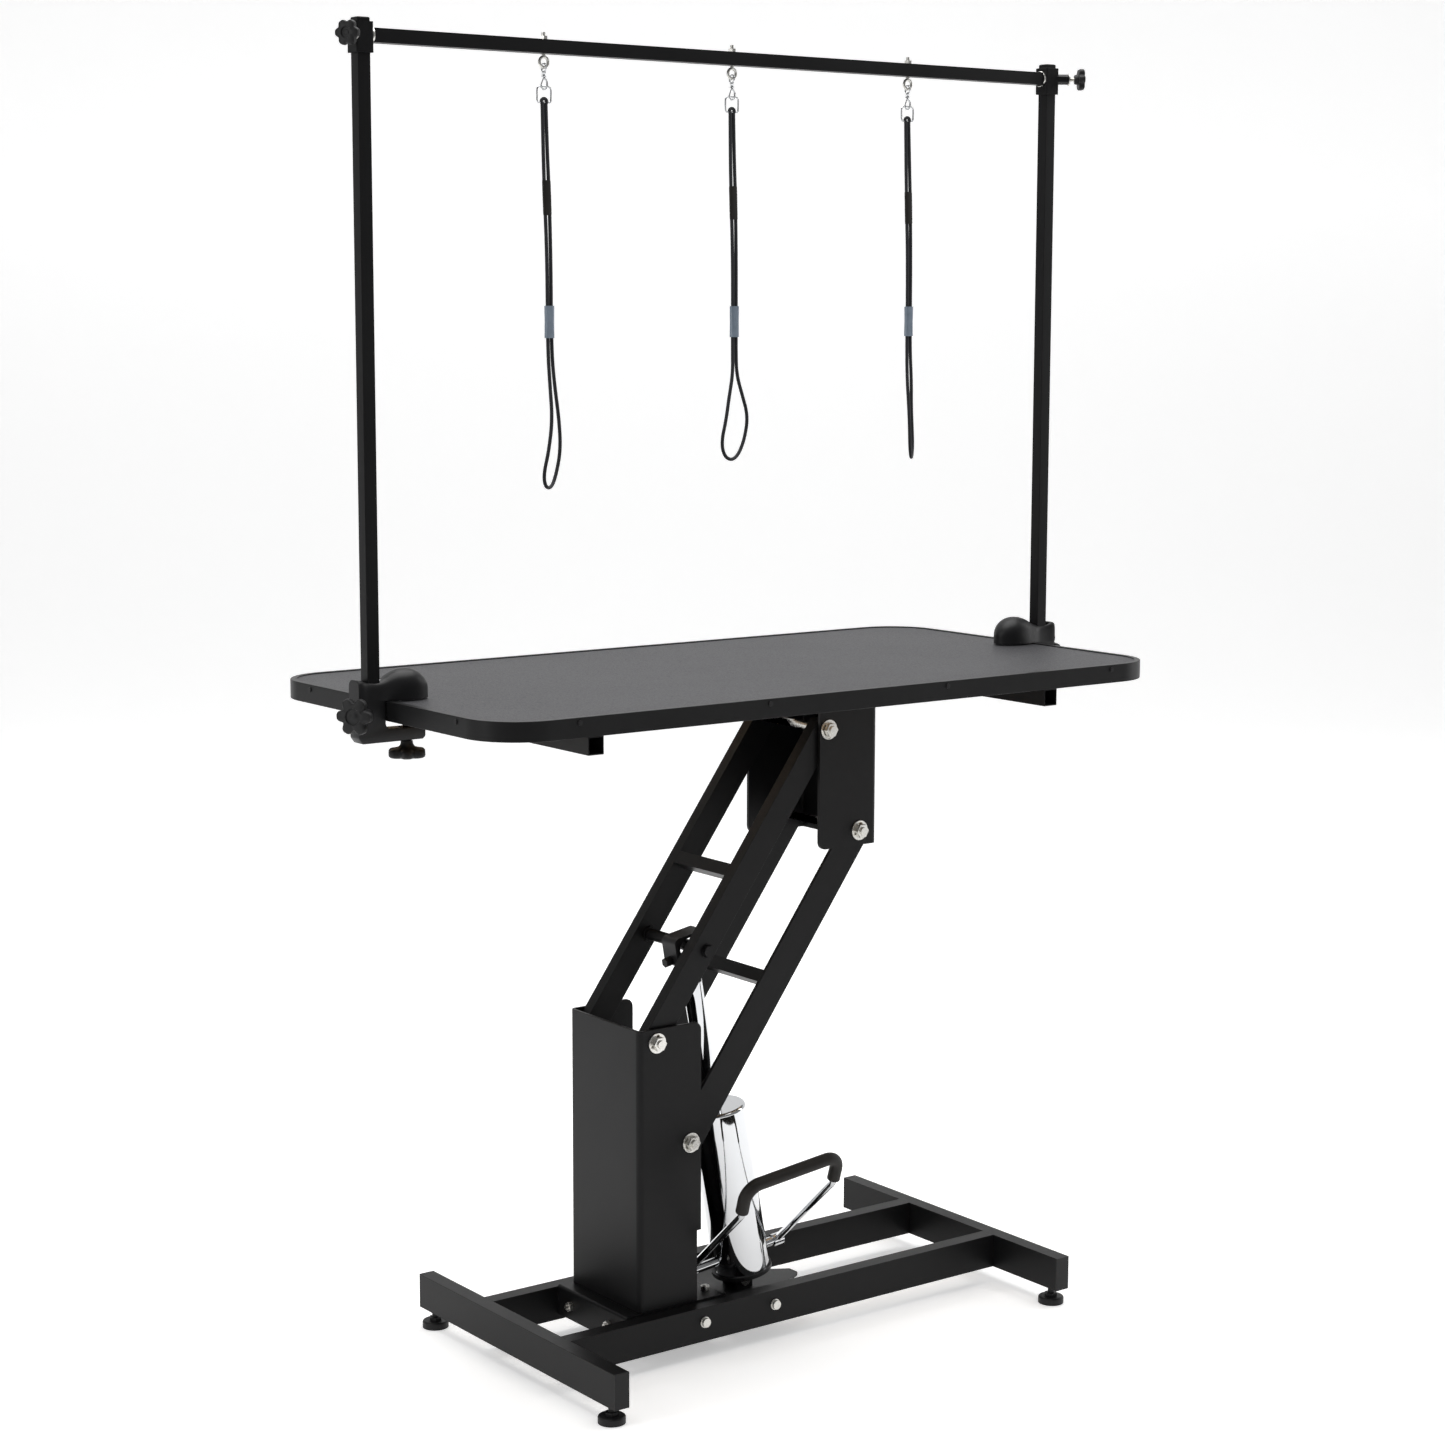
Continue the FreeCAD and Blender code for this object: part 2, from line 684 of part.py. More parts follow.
def pump_cover():
    """A closed chrome shell over the cylinder, with a hole for the ram and two for the pedal shaft."""
    middle = V(cover_shift, 0, 0)
    body = rod(cover_radius, middle + V(0, 0, cover_start), middle + V(0, 0, cover_end))
    top = [e for e in body.Edges if e.Curve.TypeId == "Part::GeomCircle" and e.CenterOfMass.z > cover_end - 0.1]
    body = body.makeFillet(cover_round, top)
    inside = rod(cover_radius - cover_wall, middle + V(0, 0, cover_start - cut_past),
                 middle + V(0, 0, cover_end - cover_wall))
    body = body.cut(inside)
    body = body.cut(rod(ram_radius + cover_ram_gap, V(0, 0, cover_end - cover_round), V(0, 0, cover_end + cut_past)))
    return leaned(body.cut(pedal_hole(pedal_shaft_radius + cover_pedal_gap)))


def pump_cylinder():
    body = ring(cylinder_radius, ram_radius + ram_clearance, V(0, 0, cylinder_start), V(0, 0, cylinder_end))
    return leaned(body)


def ram():
    body = rod(ram_radius, V(0, 0, ram_start), V(0, 0, pump_reach - ram_head))
    return leaned(body)


def ram_eye():
    """The block on the ram's end, with a level slot that the lift shaft runs in, and its side bolt."""
    half_long = eye_length / 2
    half_wide = eye_width / 2
    top = pump_reach - ram_head + eye_height
    body = box(-half_long, half_long, -half_wide, half_wide, pump_reach - ram_head, top)
    body = body.makeFillet(eye_corner, edges_along(body, V(0, 1, 0), lambda c: True))
    slot_half = shaft_radius + eye_slot_side
    slot_high = shaft_radius + eye_slot_high
    inner = slot_half - slot_high
    through = V(0, half_wide + cut_past, 0)
    slot = box(-inner, inner, -through.y, through.y, pump_reach - slot_high, pump_reach + slot_high)
    for sign in (-1, 1):
        centre = V(sign * inner, 0, pump_reach)
        slot = slot.fuse(rod(slot_high, centre - through, centre + through))
    face = V(-half_long, 0, pump_reach - eye_bolt_drop)
    bolt = hexagon(eye_bolt_flats, face - V(eye_bolt_length, 0, 0), face)
    return leaned(solids([body.cut(slot).removeSplitter(), bolt]))


# ---- Foot pedal, built with its shaft along X at the origin and its legs towards -Y ----
def pedal_placed(shape):
    shape.rotate(V(0, 0, 0), V(0, 1, 0), -pedal_tilt)
    lean = math.radians(pump_lean)
    shape.translate(pump_pivot + V(pedal_along * math.sin(lean), 0, pedal_along * math.cos(lean)))
    return shape


def pedal_direction(angle):
    return V(0, -math.cos(math.radians(angle)), math.sin(math.radians(angle)))


def bent_rod(points, corners, radius):
    """A round bar along straight runs joined by a tangent arc at each inner point."""
    edges = []
    start = points[0]
    for i in range(1, len(points) - 1):
        into = (points[i] - points[i - 1]).normalize()
        out = (points[i + 1] - points[i]).normalize()
        half_turn = into.getAngle(out) / 2
        corner = corners[i - 1]
        setback = corner * math.tan(half_turn)
        a = points[i] - into * setback
        b = points[i] + out * setback
        inward = (out - into).normalize()
        middle = points[i] + inward * (corner / math.cos(half_turn) - corner)
        edges.append(Part.LineSegment(start, a).toShape())
        edges.append(Part.Arc(a, middle, b).toShape())
        start = b
    edges.append(Part.LineSegment(start, points[-1]).toShape())
    wire = Part.Wire(edges)
    direction = (points[1] - points[0]).normalize()
    profile = Part.Wire(Part.makeCircle(radius, points[0], direction))
    return wire.makePipeShell([profile], True, False)


pedal_knee = pedal_direction(pedal_leg_angle) * pedal_leg_length
pedal_toe = pedal_direction(pedal_toe_angle)


def pedal_bar():
    """The chrome U: a cross shaft with a collar at each end, and the bent bar whose bridge is in the grip."""
    left = V(-pedal_side_left, 0, 0)
    right = V(pedal_side_right, 0, 0)
    toe = pedal_knee + pedal_toe * pedal_toe_length
    points = [left, left + pedal_knee, left + toe, right + toe, right + pedal_knee, right]
    corners = (pedal_knee_radius, pedal_corner_radius, pedal_corner_radius, pedal_knee_radius)
    body = bent_rod(points, corners, pedal_leg_radius)
    half = V(pedal_collar_length / 2, 0, 0)
    body = body.fuse(rod(pedal_shaft_radius, left - half, right + half))
    for end in (left, right):
        body = body.fuse(rod(pedal_collar_radius, end - half, end + half))
    return pedal_placed(body.removeSplitter())


def pedal_grip():
    left = V(-pedal_side_left, 0, 0)
    right = V(pedal_side_right, 0, 0)
    toe = pedal_knee + pedal_toe * pedal_toe_length
    start = pedal_knee + pedal_toe * grip_start
    points = [left + start, left + toe, right + toe, right + start]
    corners = (pedal_corner_radius, pedal_corner_radius)
    grip = bent_rod(points, corners, grip_radius)
    return pedal_placed(grip.cut(bent_rod(points, corners, pedal_leg_radius)))


# ---- Table ----
def rounded_plate(margin, z0, z1, radius):
    body = box(-trim_outer_x + margin, trim_outer_x - margin, -trim_outer_y + margin, trim_outer_y - margin, z0, z1)
    return body.makeFillet(radius, edges_along(body, V(0, 0, 1), lambda c: True))


def tabletop_board():
    return rounded_plate(trim_wall, board_bottom_z, board_top_z, corner_radius - trim_wall)


def tabletop_mat():
    return rounded_plate(trim_wall, board_top_z, mat_top_z, corner_radius - trim_wall)


def edge_trim():
    """The frame around the board's edge, with a lip over the mat's edge."""
    outer = rounded_plate(0, board_bottom_z, table_top_z, corner_radius)
    outer = outer.makeFillet(trim_edge_round, [e for e in outer.Edges if e.CenterOfMass.z > table_top_z - 0.1])
    inner = rounded_plate(trim_wall, board_bottom_z - cut_past, mat_top_z, corner_radius - trim_wall)
    window = rounded_plate(trim_lip, board_bottom_z - cut_past, table_top_z + cut_past, corner_radius - trim_lip)
    return outer.cut(inner).cut(window)


def edge_screws():
    """Pan-head screws through the trim into the board's edge."""
    z = table_top_z - edge_screw_drop
    pieces = []
    places = []
    for sign in (-1, 1):
        places += [(V(x, sign * trim_outer_y, z), V(0, sign, 0)) for x in edge_screw_x]
        places += [(V(sign * trim_outer_x, y, z), V(sign, 0, 0)) for y in edge_screw_y]
    for place, out in places:
        pieces.append(rod(edge_screw_radius, place, place + out * edge_screw_head))
    return solids(pieces)


def cross_tube(x):
    y1 = trim_outer_y - 0.5
    half = frame_tube / 2
    return tube(x - half, x + half, -y1, y1, frame_bottom_z, frame_top_z, frame_wall, "y")


def spine_tube():
    """The wide tube along the middle that ties the cross tubes and rests on the top bracket."""
    half = frame_tube / 2
    return tube(cross_tube_left_x + half, cross_tube_right_x - half, -spine_width / 2, spine_width / 2,
                frame_bottom_z, frame_top_z, frame_wall, "x")


# ---- Clamps, built for the left end and mirrored ----
def clamp_body():
    """A cast C: a socket for the post, an arm with a domed pad over the tabletop, and a jaw below it."""
    throat = -trim_outer_x - table_gap
    jaw_top = clamp_bottom_z + jaw_thickness
    over = table_top_z + table_gap
    dome_x = -clamp_reach_top - clamp_dome_radius
    outline = [
        V(-clamp_outer_x, 0, clamp_bottom_z + clamp_break), V(-clamp_outer_x, 0, clamp_top_z),
        V(dome_x, 0, clamp_top_z), V(dome_x, 0, over), V(throat, 0, over), V(throat, 0, jaw_top),
        V(-clamp_reach_jaw, 0, jaw_top), V(-clamp_reach_jaw, 0, clamp_bottom_z + clamp_break),
        V(-clamp_reach_jaw - clamp_break, 0, clamp_bottom_z), V(-clamp_outer_x + clamp_break, 0, clamp_bottom_z)]
    outline.append(outline[0])
    body = Part.Face(Part.makePolygon(outline)).extrude(V(0, clamp_width, 0))
    body.translate(V(0, arm_y - clamp_width / 2, 0))
    dome = rod(clamp_dome_radius, V(dome_x, arm_y, over), V(dome_x, arm_y, clamp_hump_z))
    dome = dome.makeFillet(clamp_dome_round, [e for e in dome.Edges if e.Curve.TypeId == "Part::GeomCircle"
                                              and e.CenterOfMass.z > clamp_hump_z - 0.1])
    post_middle = V(-post_centre_x, arm_y, lock_knob_z)
    boss = outward_turned(rod(lock_boss_radius, lock_face() - V(lock_boss_height, 0, 0), post_middle))
    body = body.fuse(dome).fuse(boss).removeSplitter()
    half = post_side / 2 + slide_gap
    socket = box(-post_centre_x - half, -post_centre_x + half, arm_y - half, arm_y + half,
                 clamp_bottom_z - cut_past, clamp_top_z + cut_past)
    body = body.cut(socket)
    screw = V(-clamp_screw_x, arm_y, 0)
    body = body.cut(rod(clamp_screw_radius + thread_clearance, screw + V(0, 0, clamp_bottom_z - cut_past),
                        screw + V(0, 0, jaw_top + cut_past)))
    drill = rod(lock_stud_radius + thread_clearance, lock_face() - V(lock_boss_height + cut_past, 0, 0), post_middle)
    return body.cut(outward_turned(drill))


def star(radius, height, lobes):
    """A lobed knob standing on the origin along +Z."""
    body = rod(radius * (1 - lobe_share), V(0, 0, 0), V(0, 0, height))
    for i in range(lobes):
        angle = 2 * math.pi * i / lobes
        centre = V(math.cos(angle), math.sin(angle), 0) * (radius * (1 - lobe_share))
        body = body.fuse(rod(radius * lobe_share, centre, centre + V(0, 0, height)))
    return body.removeSplitter()


def clamp_screw():
    """The knob, its neck and the threaded spindle with a pad that presses under the board."""
    foot = V(-clamp_screw_x, arm_y, clamp_bottom_z - clamp_neck_length)
    knob = star(clamp_knob_radius, clamp_knob_height, big_knob_lobes)
    knob.translate(foot - V(0, 0, clamp_knob_height))
    neck = rod(clamp_neck_radius, foot, foot + V(0, 0, clamp_neck_length - clamp_neck_top))
    pad_top = V(foot.x, foot.y, board_bottom_z - pad_gap)
    pad = rod(pad_radius, pad_top - V(0, 0, pad_height), pad_top)
    spindle = rod(clamp_screw_radius, foot, pad_top)
    return knob.fuse(neck).fuse(spindle).fuse(pad).removeSplitter()


def outward_turned(shape):
    """Turned about the left post, so that what faced -X faces out and partly to the front."""
    shape.rotate(V(-post_centre_x, arm_y, 0), V(0, 0, 1), knob_turn)
    return shape


def side_knob(radius, height, lobes, gap, hub_length, face, stud, stud_length):
    """A star knob on the left post: its stud ends inside the face, and its hub points back at the face."""
    knob = star(radius, height, lobes)
    knob.rotate(V(0, 0, 0), V(0, 1, 0), -90)
    hub_start = face - V(gap, 0, 0)
    knob.translate(hub_start)
    hub = rod(radius * hub_share, hub_start, hub_start + V(hub_length, 0, 0))
    shank = rod(stud, hub_start, face + V(stud_length, 0, 0))
    return outward_turned(knob.fuse(hub).fuse(shank).removeSplitter())


def lock_face():
    return V(-clamp_outer_x, arm_y, lock_knob_z)


def post_knob():
    wall = clamp_outer_x - post_centre_x - post_corner_reach
    return side_knob(lock_knob_radius, lock_knob_height, big_knob_lobes, lock_knob_gap,
                     lock_knob_gap - lock_boss_height - hub_gap, lock_face(), lock_stud_radius, wall)


# ---- Posts and crossbar ----
def post(x):
    half = post_side / 2
    body = tube(x - half, x + half, arm_y - half, arm_y + half, post_bottom_z, post_top_z, post_wall, "z")
    cap = box(x - half, x + half, arm_y - half, arm_y + half, post_top_z, post_top_z + post_cap)
    cap = cap.makeFillet(post_cap_round, [e for e in cap.Edges if e.CenterOfMass.z > post_top_z + post_cap - 0.1])
    return body.fuse(cap).removeSplitter()


def crossbar():
    """The square crossbar with a round plug in each end, whose flange meets the sleeve."""
    half = crossbar_side / 2
    end = post_centre_x - sleeve_side / 2 - bar_washer
    body = tube(-end, end, arm_y - half, arm_y + half, crossbar_top_z - crossbar_side, crossbar_top_z,
                crossbar_wall, "x")
    for sign in (-1, 1):
        start = V(sign * (end - bar_plug), arm_y, crossbar_mid_z())
        body = body.fuse(rod(half - crossbar_wall, start, V(sign * end, arm_y, start.z)))
        body = body.fuse(rod(half + bar_washer_lip, V(sign * end, arm_y, start.z),
                             V(sign * (end + bar_washer), arm_y, start.z)))
    for x in eye_bolt_x:
        body = body.cut(rod(eye_shank_radius, V(x, arm_y, crossbar_top_z - crossbar_side - cut_past),
                            V(x, arm_y, crossbar_top_z + cut_past)))
    return body


def crossbar_mid_z():
    return crossbar_top_z - crossbar_side / 2


def sleeve(boss_height):
    """A square tube on the left post, with a threaded boss on its outer side for the knob's rod."""
    half = sleeve_side / 2
    hole = post_side / 2 + slide_gap
    x = -post_centre_x
    body = box(x - half, x + half, arm_y - half, arm_y + half, sleeve_bottom_z, sleeve_bottom_z + sleeve_height)
    body = body.makeFillet(sleeve_corner, edges_along(body, V(0, 0, 1), lambda c: True))
    face = V(x - half, arm_y, crossbar_mid_z())
    post_middle = V(x, arm_y, face.z)
    body = body.fuse(outward_turned(hexagon(sleeve_boss_flats, face - V(boss_height, 0, 0), post_middle)))
    body = body.cut(box(x - hole, x + hole, arm_y - hole, arm_y + hole, sleeve_bottom_z - cut_past,
                        sleeve_bottom_z + sleeve_height + cut_past))
    drill = rod(sleeve_rod_radius + thread_clearance, face - V(boss_height + cut_past, 0, 0), post_middle)
    return body.cut(outward_turned(drill))


def sleeve_knob(gap, hub_length):
    half = sleeve_side / 2
    face = V(-post_centre_x - half, arm_y, crossbar_mid_z())
    return side_knob(sleeve_knob_radius, sleeve_knob_height, small_knob_lobes, gap, hub_length, face,
                     sleeve_rod_radius, half - post_corner_reach)


# ---- Loops ----
def eye_centre(x):
    return V(x, arm_y, crossbar_top_z - crossbar_side - eye_ring_drop)


def eye_bolts():
    """Eye bolts down through the crossbar, each with a nut above it."""
    pieces = []
    for x in eye_bolt_x:
        centre = eye_centre(x)
        shank_top = V(x, arm_y, crossbar_top_z + eye_shank_proud)
        shank = rod(eye_shank_radius, centre + V(0, 0, eye_ring_radius), shank_top)
        eye = Part.makeTorus(eye_ring_radius, eye_wire_radius, centre, V(0, 1, 0))
        pieces.append(shank.fuse(eye).removeSplitter())
        top = V(x, arm_y, crossbar_top_z)
        nut = hexagon(eye_nut_flats, top, top + V(0, 0, eye_nut_height))
        pieces.append(nut.cut(rod(eye_shank_radius, top - V(0, 0, 1), top + V(0, 0, eye_shank_proud))))
    return solids(pieces)


def snap_hook(x):
    """The swivel eye that hangs in the eye bolt, the hook's body, and the closed hook that holds the D-ring."""
    centre = eye_centre(x)
    hang = eye_ring_radius + snap_ring_radius - snap_wire_radius - eye_wire_radius
    loop_centre = centre - V(0, 0, hang - ring_gap)
    loop = Part.makeTorus(snap_ring_radius, snap_wire_radius, loop_centre, V(1, 0, 0))
    body_top = centre - V(0, 0, snap_body_top)
    body_bottom = centre - V(0, 0, snap_body_bottom)
    neck = rod(snap_wire_radius, body_bottom, loop_centre - V(0, 0, snap_ring_radius))
    body = rod(snap_body_radius, body_bottom, body_top).fuse(neck)
    hook_centre = centre - V(0, 0, snap_body_bottom + snap_hook_radius)
    hook = Part.makeTorus(snap_hook_radius, snap_wire_radius, hook_centre, V(1, 0, 0))
    return solids([loop.fuse(body).fuse(hook).removeSplitter(), d_ring(x)])


def d_ring(x):
    """A D-shaped wire ring whose straight side carries the rope's folded top."""
    centre = eye_centre(x)
    half = d_ring_half_width - d_ring_wire_radius
    low = -d_ring_bottom + d_ring_wire_radius
    hook_low = -snap_body_bottom - 2 * snap_hook_radius + snap_wire_radius
    high = hook_low + d_ring_wire_radius + ring_gap
    shoulder = high - d_ring_shoulder
    points = [V(0, 0, high), V(half, 0, shoulder), V(half, 0, low), V(-half, 0, low), V(-half, 0, shoulder),
              V(0, 0, high)]
    body = None
    for a, b in zip(points, points[1:]):
        run = rod(d_ring_wire_radius, a, b).fuse(Part.makeSphere(d_ring_wire_radius, b))
        body = run if body is None else body.fuse(run)
    body = body.removeSplitter()
    body.translate(centre)
    return body


# Each rope runs down its left strand, round the bottom of its loop and up its right strand.
# A point is its offset across from its eye bolt's x, its depth, and its height above the floor.
# Depth is measured level, at loop_turn from the Y axis towards X.
rope_routes = {
    "left": [
        (-2.9, 0, 1828.2), (-2.1, 0, 1770), (-0.3, 0, 1706), (3.4, 0, 1614), (3.4, 0, 1490), (7.4, -6, 1440),
        (11.6, -14, 1392), (5.5, -20, 1348), (-3.5, -18, 1316), (-1.0, -8, 1297), (8.0, 9, 1296),
        (15.5, 19, 1316), (22.5, 21, 1349), (20.6, 14, 1392), (14.0, 6, 1440), (9.6, 0, 1490), (9.6, 0, 1614),
        (7.4, 0, 1706), (4.4, 0, 1770), (2.9, 0, 1828.2)],
    "middle": [
        (-2.9, 0, 1828.2), (-2.6, 0, 1770), (-0.8, 0, 1706), (2.4, 0, 1614), (2.4, 0, 1490), (2.9, -3, 1452),
        (-3.5, -8, 1420), (-9.0, -12, 1386), (-17.5, -12, 1354), (-13.0, -6, 1333), (1.0, 0, 1325),
        (14.5, 6, 1334), (25.5, 11, 1358), (31.0, 12, 1390), (20.0, 8, 1422), (9.6, 3, 1452), (8.6, 0, 1490),
        (8.6, 0, 1614), (7.0, 0, 1706), (4.2, 0, 1770), (2.9, 0, 1828.2)],
    "right": [
        (-2.9, 0, 1828.2), (-1.6, 0, 1770), (0.4, 0, 1706), (4.0, 0, 1614), (4.0, 0, 1490), (5.0, -6, 1440),
        (8.4, -14, 1398), (10.0, -20, 1366), (11.0, -18, 1338), (14.0, -8, 1320), (17.5, 9, 1320),
        (19.5, 19, 1339), (18.0, 21, 1367), (15.5, 14, 1398), (14.4, 6, 1440), (10.2, 0, 1490), (10.2, 0, 1614),
        (8.0, 0, 1706), (5.2, 0, 1770), (2.9, 0, 1828.2)]}


def rope(x, name):
    """A round cord along straight runs joined by tangent arcs, each as large as its two runs allow."""
    turn = math.radians(loop_turn)
    points = [V(x + across + depth * math.sin(turn), arm_y + depth * math.cos(turn), z)
              for across, depth, z in rope_routes[name]]
    edges = []
    radii = []
    start = points[0]
    for i in range(1, len(points) - 1):
        into = points[i] - points[i - 1]
        out = points[i + 1] - points[i]
        setback = run_share * min(into.Length, out.Length)
        half_turn = into.getAngle(out) / 2
        radius = setback / math.tan(half_turn)
        into.normalize()
        out.normalize()
        a = points[i] - into * setback
        b = points[i] + out * setback
        inward = (out - into).normalize()
        middle = points[i] + inward * (radius / math.cos(half_turn) - radius)
        edges.append(Part.LineSegment(start, a).toShape())
        edges.append(Part.Arc(a, middle, b).toShape())
        radii.append(radius)
        start = b
    edges.append(Part.LineSegment(start, points[-1]).toShape())
    wire = Part.Wire(edges)
    profile = Part.Wire(Part.makeCircle(rope_radius, points[0], points[1] - points[0]))
    body = wire.makePipeShell([profile], True, False)
    share = body.Volume / (math.pi * rope_radius ** 2 * wire.Length)
    print("rope", name, "length", round(wire.Length, 1), "volume share", round(share, 4),
          "radii", [round(r, 1) for r in radii])
    return body


def slider(x, name):
    """A flat oval sleeve round both strands of a rope."""
    dx = [p[0] for p in rope_routes[name] if p[2] == rope_pinch_z]
    middle = x + sum(dx) / 2
    half_pitch = (dx[1] - dx[0]) / 2
    inner = oval(half_pitch, rope_radius + slider_clearance)
    outer = oval(half_pitch, rope_radius + slider_clearance + slider_wall)
    body = outer.cut(inner)
    body.translate(V(middle, arm_y, slider_bottom_z))
    return body


def oval(half_pitch, radius):
    body = box(-half_pitch, half_pitch, -radius, radius, 0, slider_length)
    for sign in (-1, 1):
        body = body.fuse(rod(radius, V(sign * half_pitch, 0, 0), V(sign * half_pitch, 0, slider_length)))
    return body.removeSplitter()


# ---- Write every sub-part ----
os.makedirs("parts", exist_ok=True)
knob_ends = (post_knob(), half_turned(post_knob()), mirror_x(sleeve_knob(right_knob_gap, right_hub_length)))
knob_boxes = [knob.optimalBoundingBox(False) for knob in knob_ends]
box_middle = (min(b.XMin for b in knob_boxes) + max(b.XMax for b in knob_boxes)) / 2

save("foot_left", cross_foot(foot_left_x))
save("foot_right", cross_foot(foot_right_x - tube_width))
caps = [end_cap(x, sign) for x in (foot_left_x, foot_right_x - tube_width) for sign in (-1, 1)]
save("foot_end_caps", solids(caps))
save("rail_front", rail(-1))
save("rail_rear", rail(1))
save("column_base", column_base())
save("pump_bracket", pump_bracket())
save("frame_bolts", frame_bolts())
save("column", column())
upper_spacer = arm_side_gap - spacer_gap
lower_spacer = lower_arm_side_gap - spacer_gap
save("column_pivot_bolts", pivot_bolts((pivot_a, pivot_b), (upper_spacer, lower_spacer)))
for side, foot_x in (("left", foot_left_x), ("right", foot_right_x - tube_width)):
    for end, foot_sign in (("front", -1), ("rear", 1)):
        foot_y = foot_sign * (foot_length / 2 - foot_inset)
        save("levelling_foot_" + end + "_" + side, levelling_foot(foot_x + tube_width / 2, foot_y))

for end, sign in (("front", -1), ("rear", 1)):
    save("upper_arm_" + end, upper_arm(sign))
    save("lower_arm_" + end, lower_arm(sign))
upper_span = channel_inner_y - arm_side_gap - upper_arm_width
lower_span = channel_inner_y - lower_arm_side_gap - lower_arm_thickness
save("upper_arm_crossbar", arm_tie(upper_crossbar_along, upper_arm_depth, upper_span, pivot_a))
save("lower_arm_crossbar", arm_tie(lower_crossbar_along, lower_arm_depth, lower_span, pivot_b))
save("lift_shaft", lift_shaft())
save("top_bracket", top_bracket())
save("bracket_pivot_bolts", pivot_bolts((pivot_c, pivot_d), (upper_spacer, lower_spacer)))

save("pump_base", pump_base())
save("pump_cover", pump_cover())
save("pump_cylinder", pump_cylinder())
save("ram", ram())
save("ram_eye", ram_eye())
save("pedal_bar", pedal_bar())
save("pedal_grip", pedal_grip())

save("cross_tube_left", cross_tube(cross_tube_left_x))
save("cross_tube_right", cross_tube(cross_tube_right_x))
save("spine_tube", spine_tube())
save("tabletop_board", tabletop_board())
save("tabletop_mat", tabletop_mat())
save("edge_trim", edge_trim())
save("edge_screws", edge_screws())

for name, left in (("clamp_body", clamp_body()), ("clamp_screw", clamp_screw()), ("post_knob", post_knob())):
    save(name + "_left", left)
    save(name + "_right", half_turned(left))
save("sleeve_left", sleeve(left_boss_height))
save("sleeve_right", mirror_x(sleeve(right_boss_height)))
save("post_left", post(-post_centre_x))
save("post_right", post(post_centre_x))
save("crossbar", crossbar())
save("sleeve_knob_left", sleeve_knob(left_knob_gap, left_knob_gap - left_boss_height - boss_gap))
save("sleeve_knob_right", mirror_x(sleeve_knob(right_knob_gap, right_hub_length)))
save("eye_bolts", eye_bolts())
for name, x in zip(("left", "middle", "right"), eye_bolt_x):
    save("snap_hook_" + name, snap_hook(x))
    save("rope_" + name, rope(x, name))
    save("slider_" + name, slider(x, name))
print("box middle", round(box_middle, 3), "pump lean", round(pump_lean, 3), "pump reach", round(pump_reach, 3))
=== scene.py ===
import json
import math

import bmesh
import bpy
from mathutils import Matrix, Vector


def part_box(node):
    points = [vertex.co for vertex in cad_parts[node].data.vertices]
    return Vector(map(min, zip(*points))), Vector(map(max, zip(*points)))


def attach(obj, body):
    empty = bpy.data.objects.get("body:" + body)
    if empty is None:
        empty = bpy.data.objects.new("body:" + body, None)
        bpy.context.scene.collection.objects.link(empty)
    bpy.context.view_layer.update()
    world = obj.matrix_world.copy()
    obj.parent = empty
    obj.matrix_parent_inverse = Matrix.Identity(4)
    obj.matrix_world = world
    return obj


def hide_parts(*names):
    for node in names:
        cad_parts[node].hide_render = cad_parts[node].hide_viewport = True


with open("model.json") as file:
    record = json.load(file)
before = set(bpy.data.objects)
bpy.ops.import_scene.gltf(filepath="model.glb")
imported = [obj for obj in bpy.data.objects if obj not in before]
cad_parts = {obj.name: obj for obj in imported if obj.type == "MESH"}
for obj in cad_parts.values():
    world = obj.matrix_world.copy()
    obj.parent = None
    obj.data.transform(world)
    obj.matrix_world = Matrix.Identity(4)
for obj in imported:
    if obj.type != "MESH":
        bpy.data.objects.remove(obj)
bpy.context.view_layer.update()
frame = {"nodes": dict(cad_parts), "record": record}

MM = 0.001
BODY_OF = {node: body for body, nodes in frame["record"]["behaviour"]["bodies"].items() for node in nodes}
BOX_MIDDLE = 1.026 * MM


# ---- Camera ----
def add_camera():
    yaw, pitch, roll = 0.639, 0.143, 0.002
    look = Vector((math.sin(yaw) * math.cos(pitch), math.cos(yaw) * math.cos(pitch), -math.sin(pitch)))
    right = Vector((math.cos(yaw), -math.sin(yaw), 0.0))
    up = right.cross(look)
    right, up = (right * math.cos(roll) + up * math.sin(roll), up * math.cos(roll) - right * math.sin(roll))
    data = bpy.data.cameras.new("camera")
    data.sensor_width = 36.0
    data.lens = 71.89
    data.clip_end = 60.0
    camera = bpy.data.objects.new("camera", data)
    bpy.context.collection.objects.link(camera)
    turn = Matrix((right, up, -look)).transposed().to_4x4()
    camera.matrix_world = Matrix.Translation((-2.5630, -3.4364, 1.5497)) @ turn
    bpy.context.scene.camera = camera


add_camera()


# ---- Shader maths ----
class Wire:
    """A value in a material: arithmetic on it adds Math nodes."""

    def __init__(self, tree, socket):
        self.tree = tree
        self.socket = socket

    def math(self, operation, *values):
        node = self.tree.nodes.new("ShaderNodeMath")
        node.operation = operation
        for socket, value in zip(node.inputs, values):
            if isinstance(value, Wire):
                self.tree.links.new(value.socket, socket)
            else:
                socket.default_value = value
        return Wire(self.tree, node.outputs[0])

    def __add__(self, other):
        return self.math("ADD", self, other)

    def __radd__(self, other):
        return self.math("ADD", other, self)

    def __sub__(self, other):
        return self.math("SUBTRACT", self, other)

    def __rsub__(self, other):
        return self.math("SUBTRACT", other, self)

    def __mul__(self, other):
        return self.math("MULTIPLY", self, other)

    def __rmul__(self, other):
        return self.math("MULTIPLY", other, self)

    def __abs__(self):
        return self.math("ABSOLUTE", self)

    def fraction(self):
        return self.math("FRACT", self)

    def clamped(self):
        return self.math("MAXIMUM", self.math("MINIMUM", self, 1.0), 0.0)


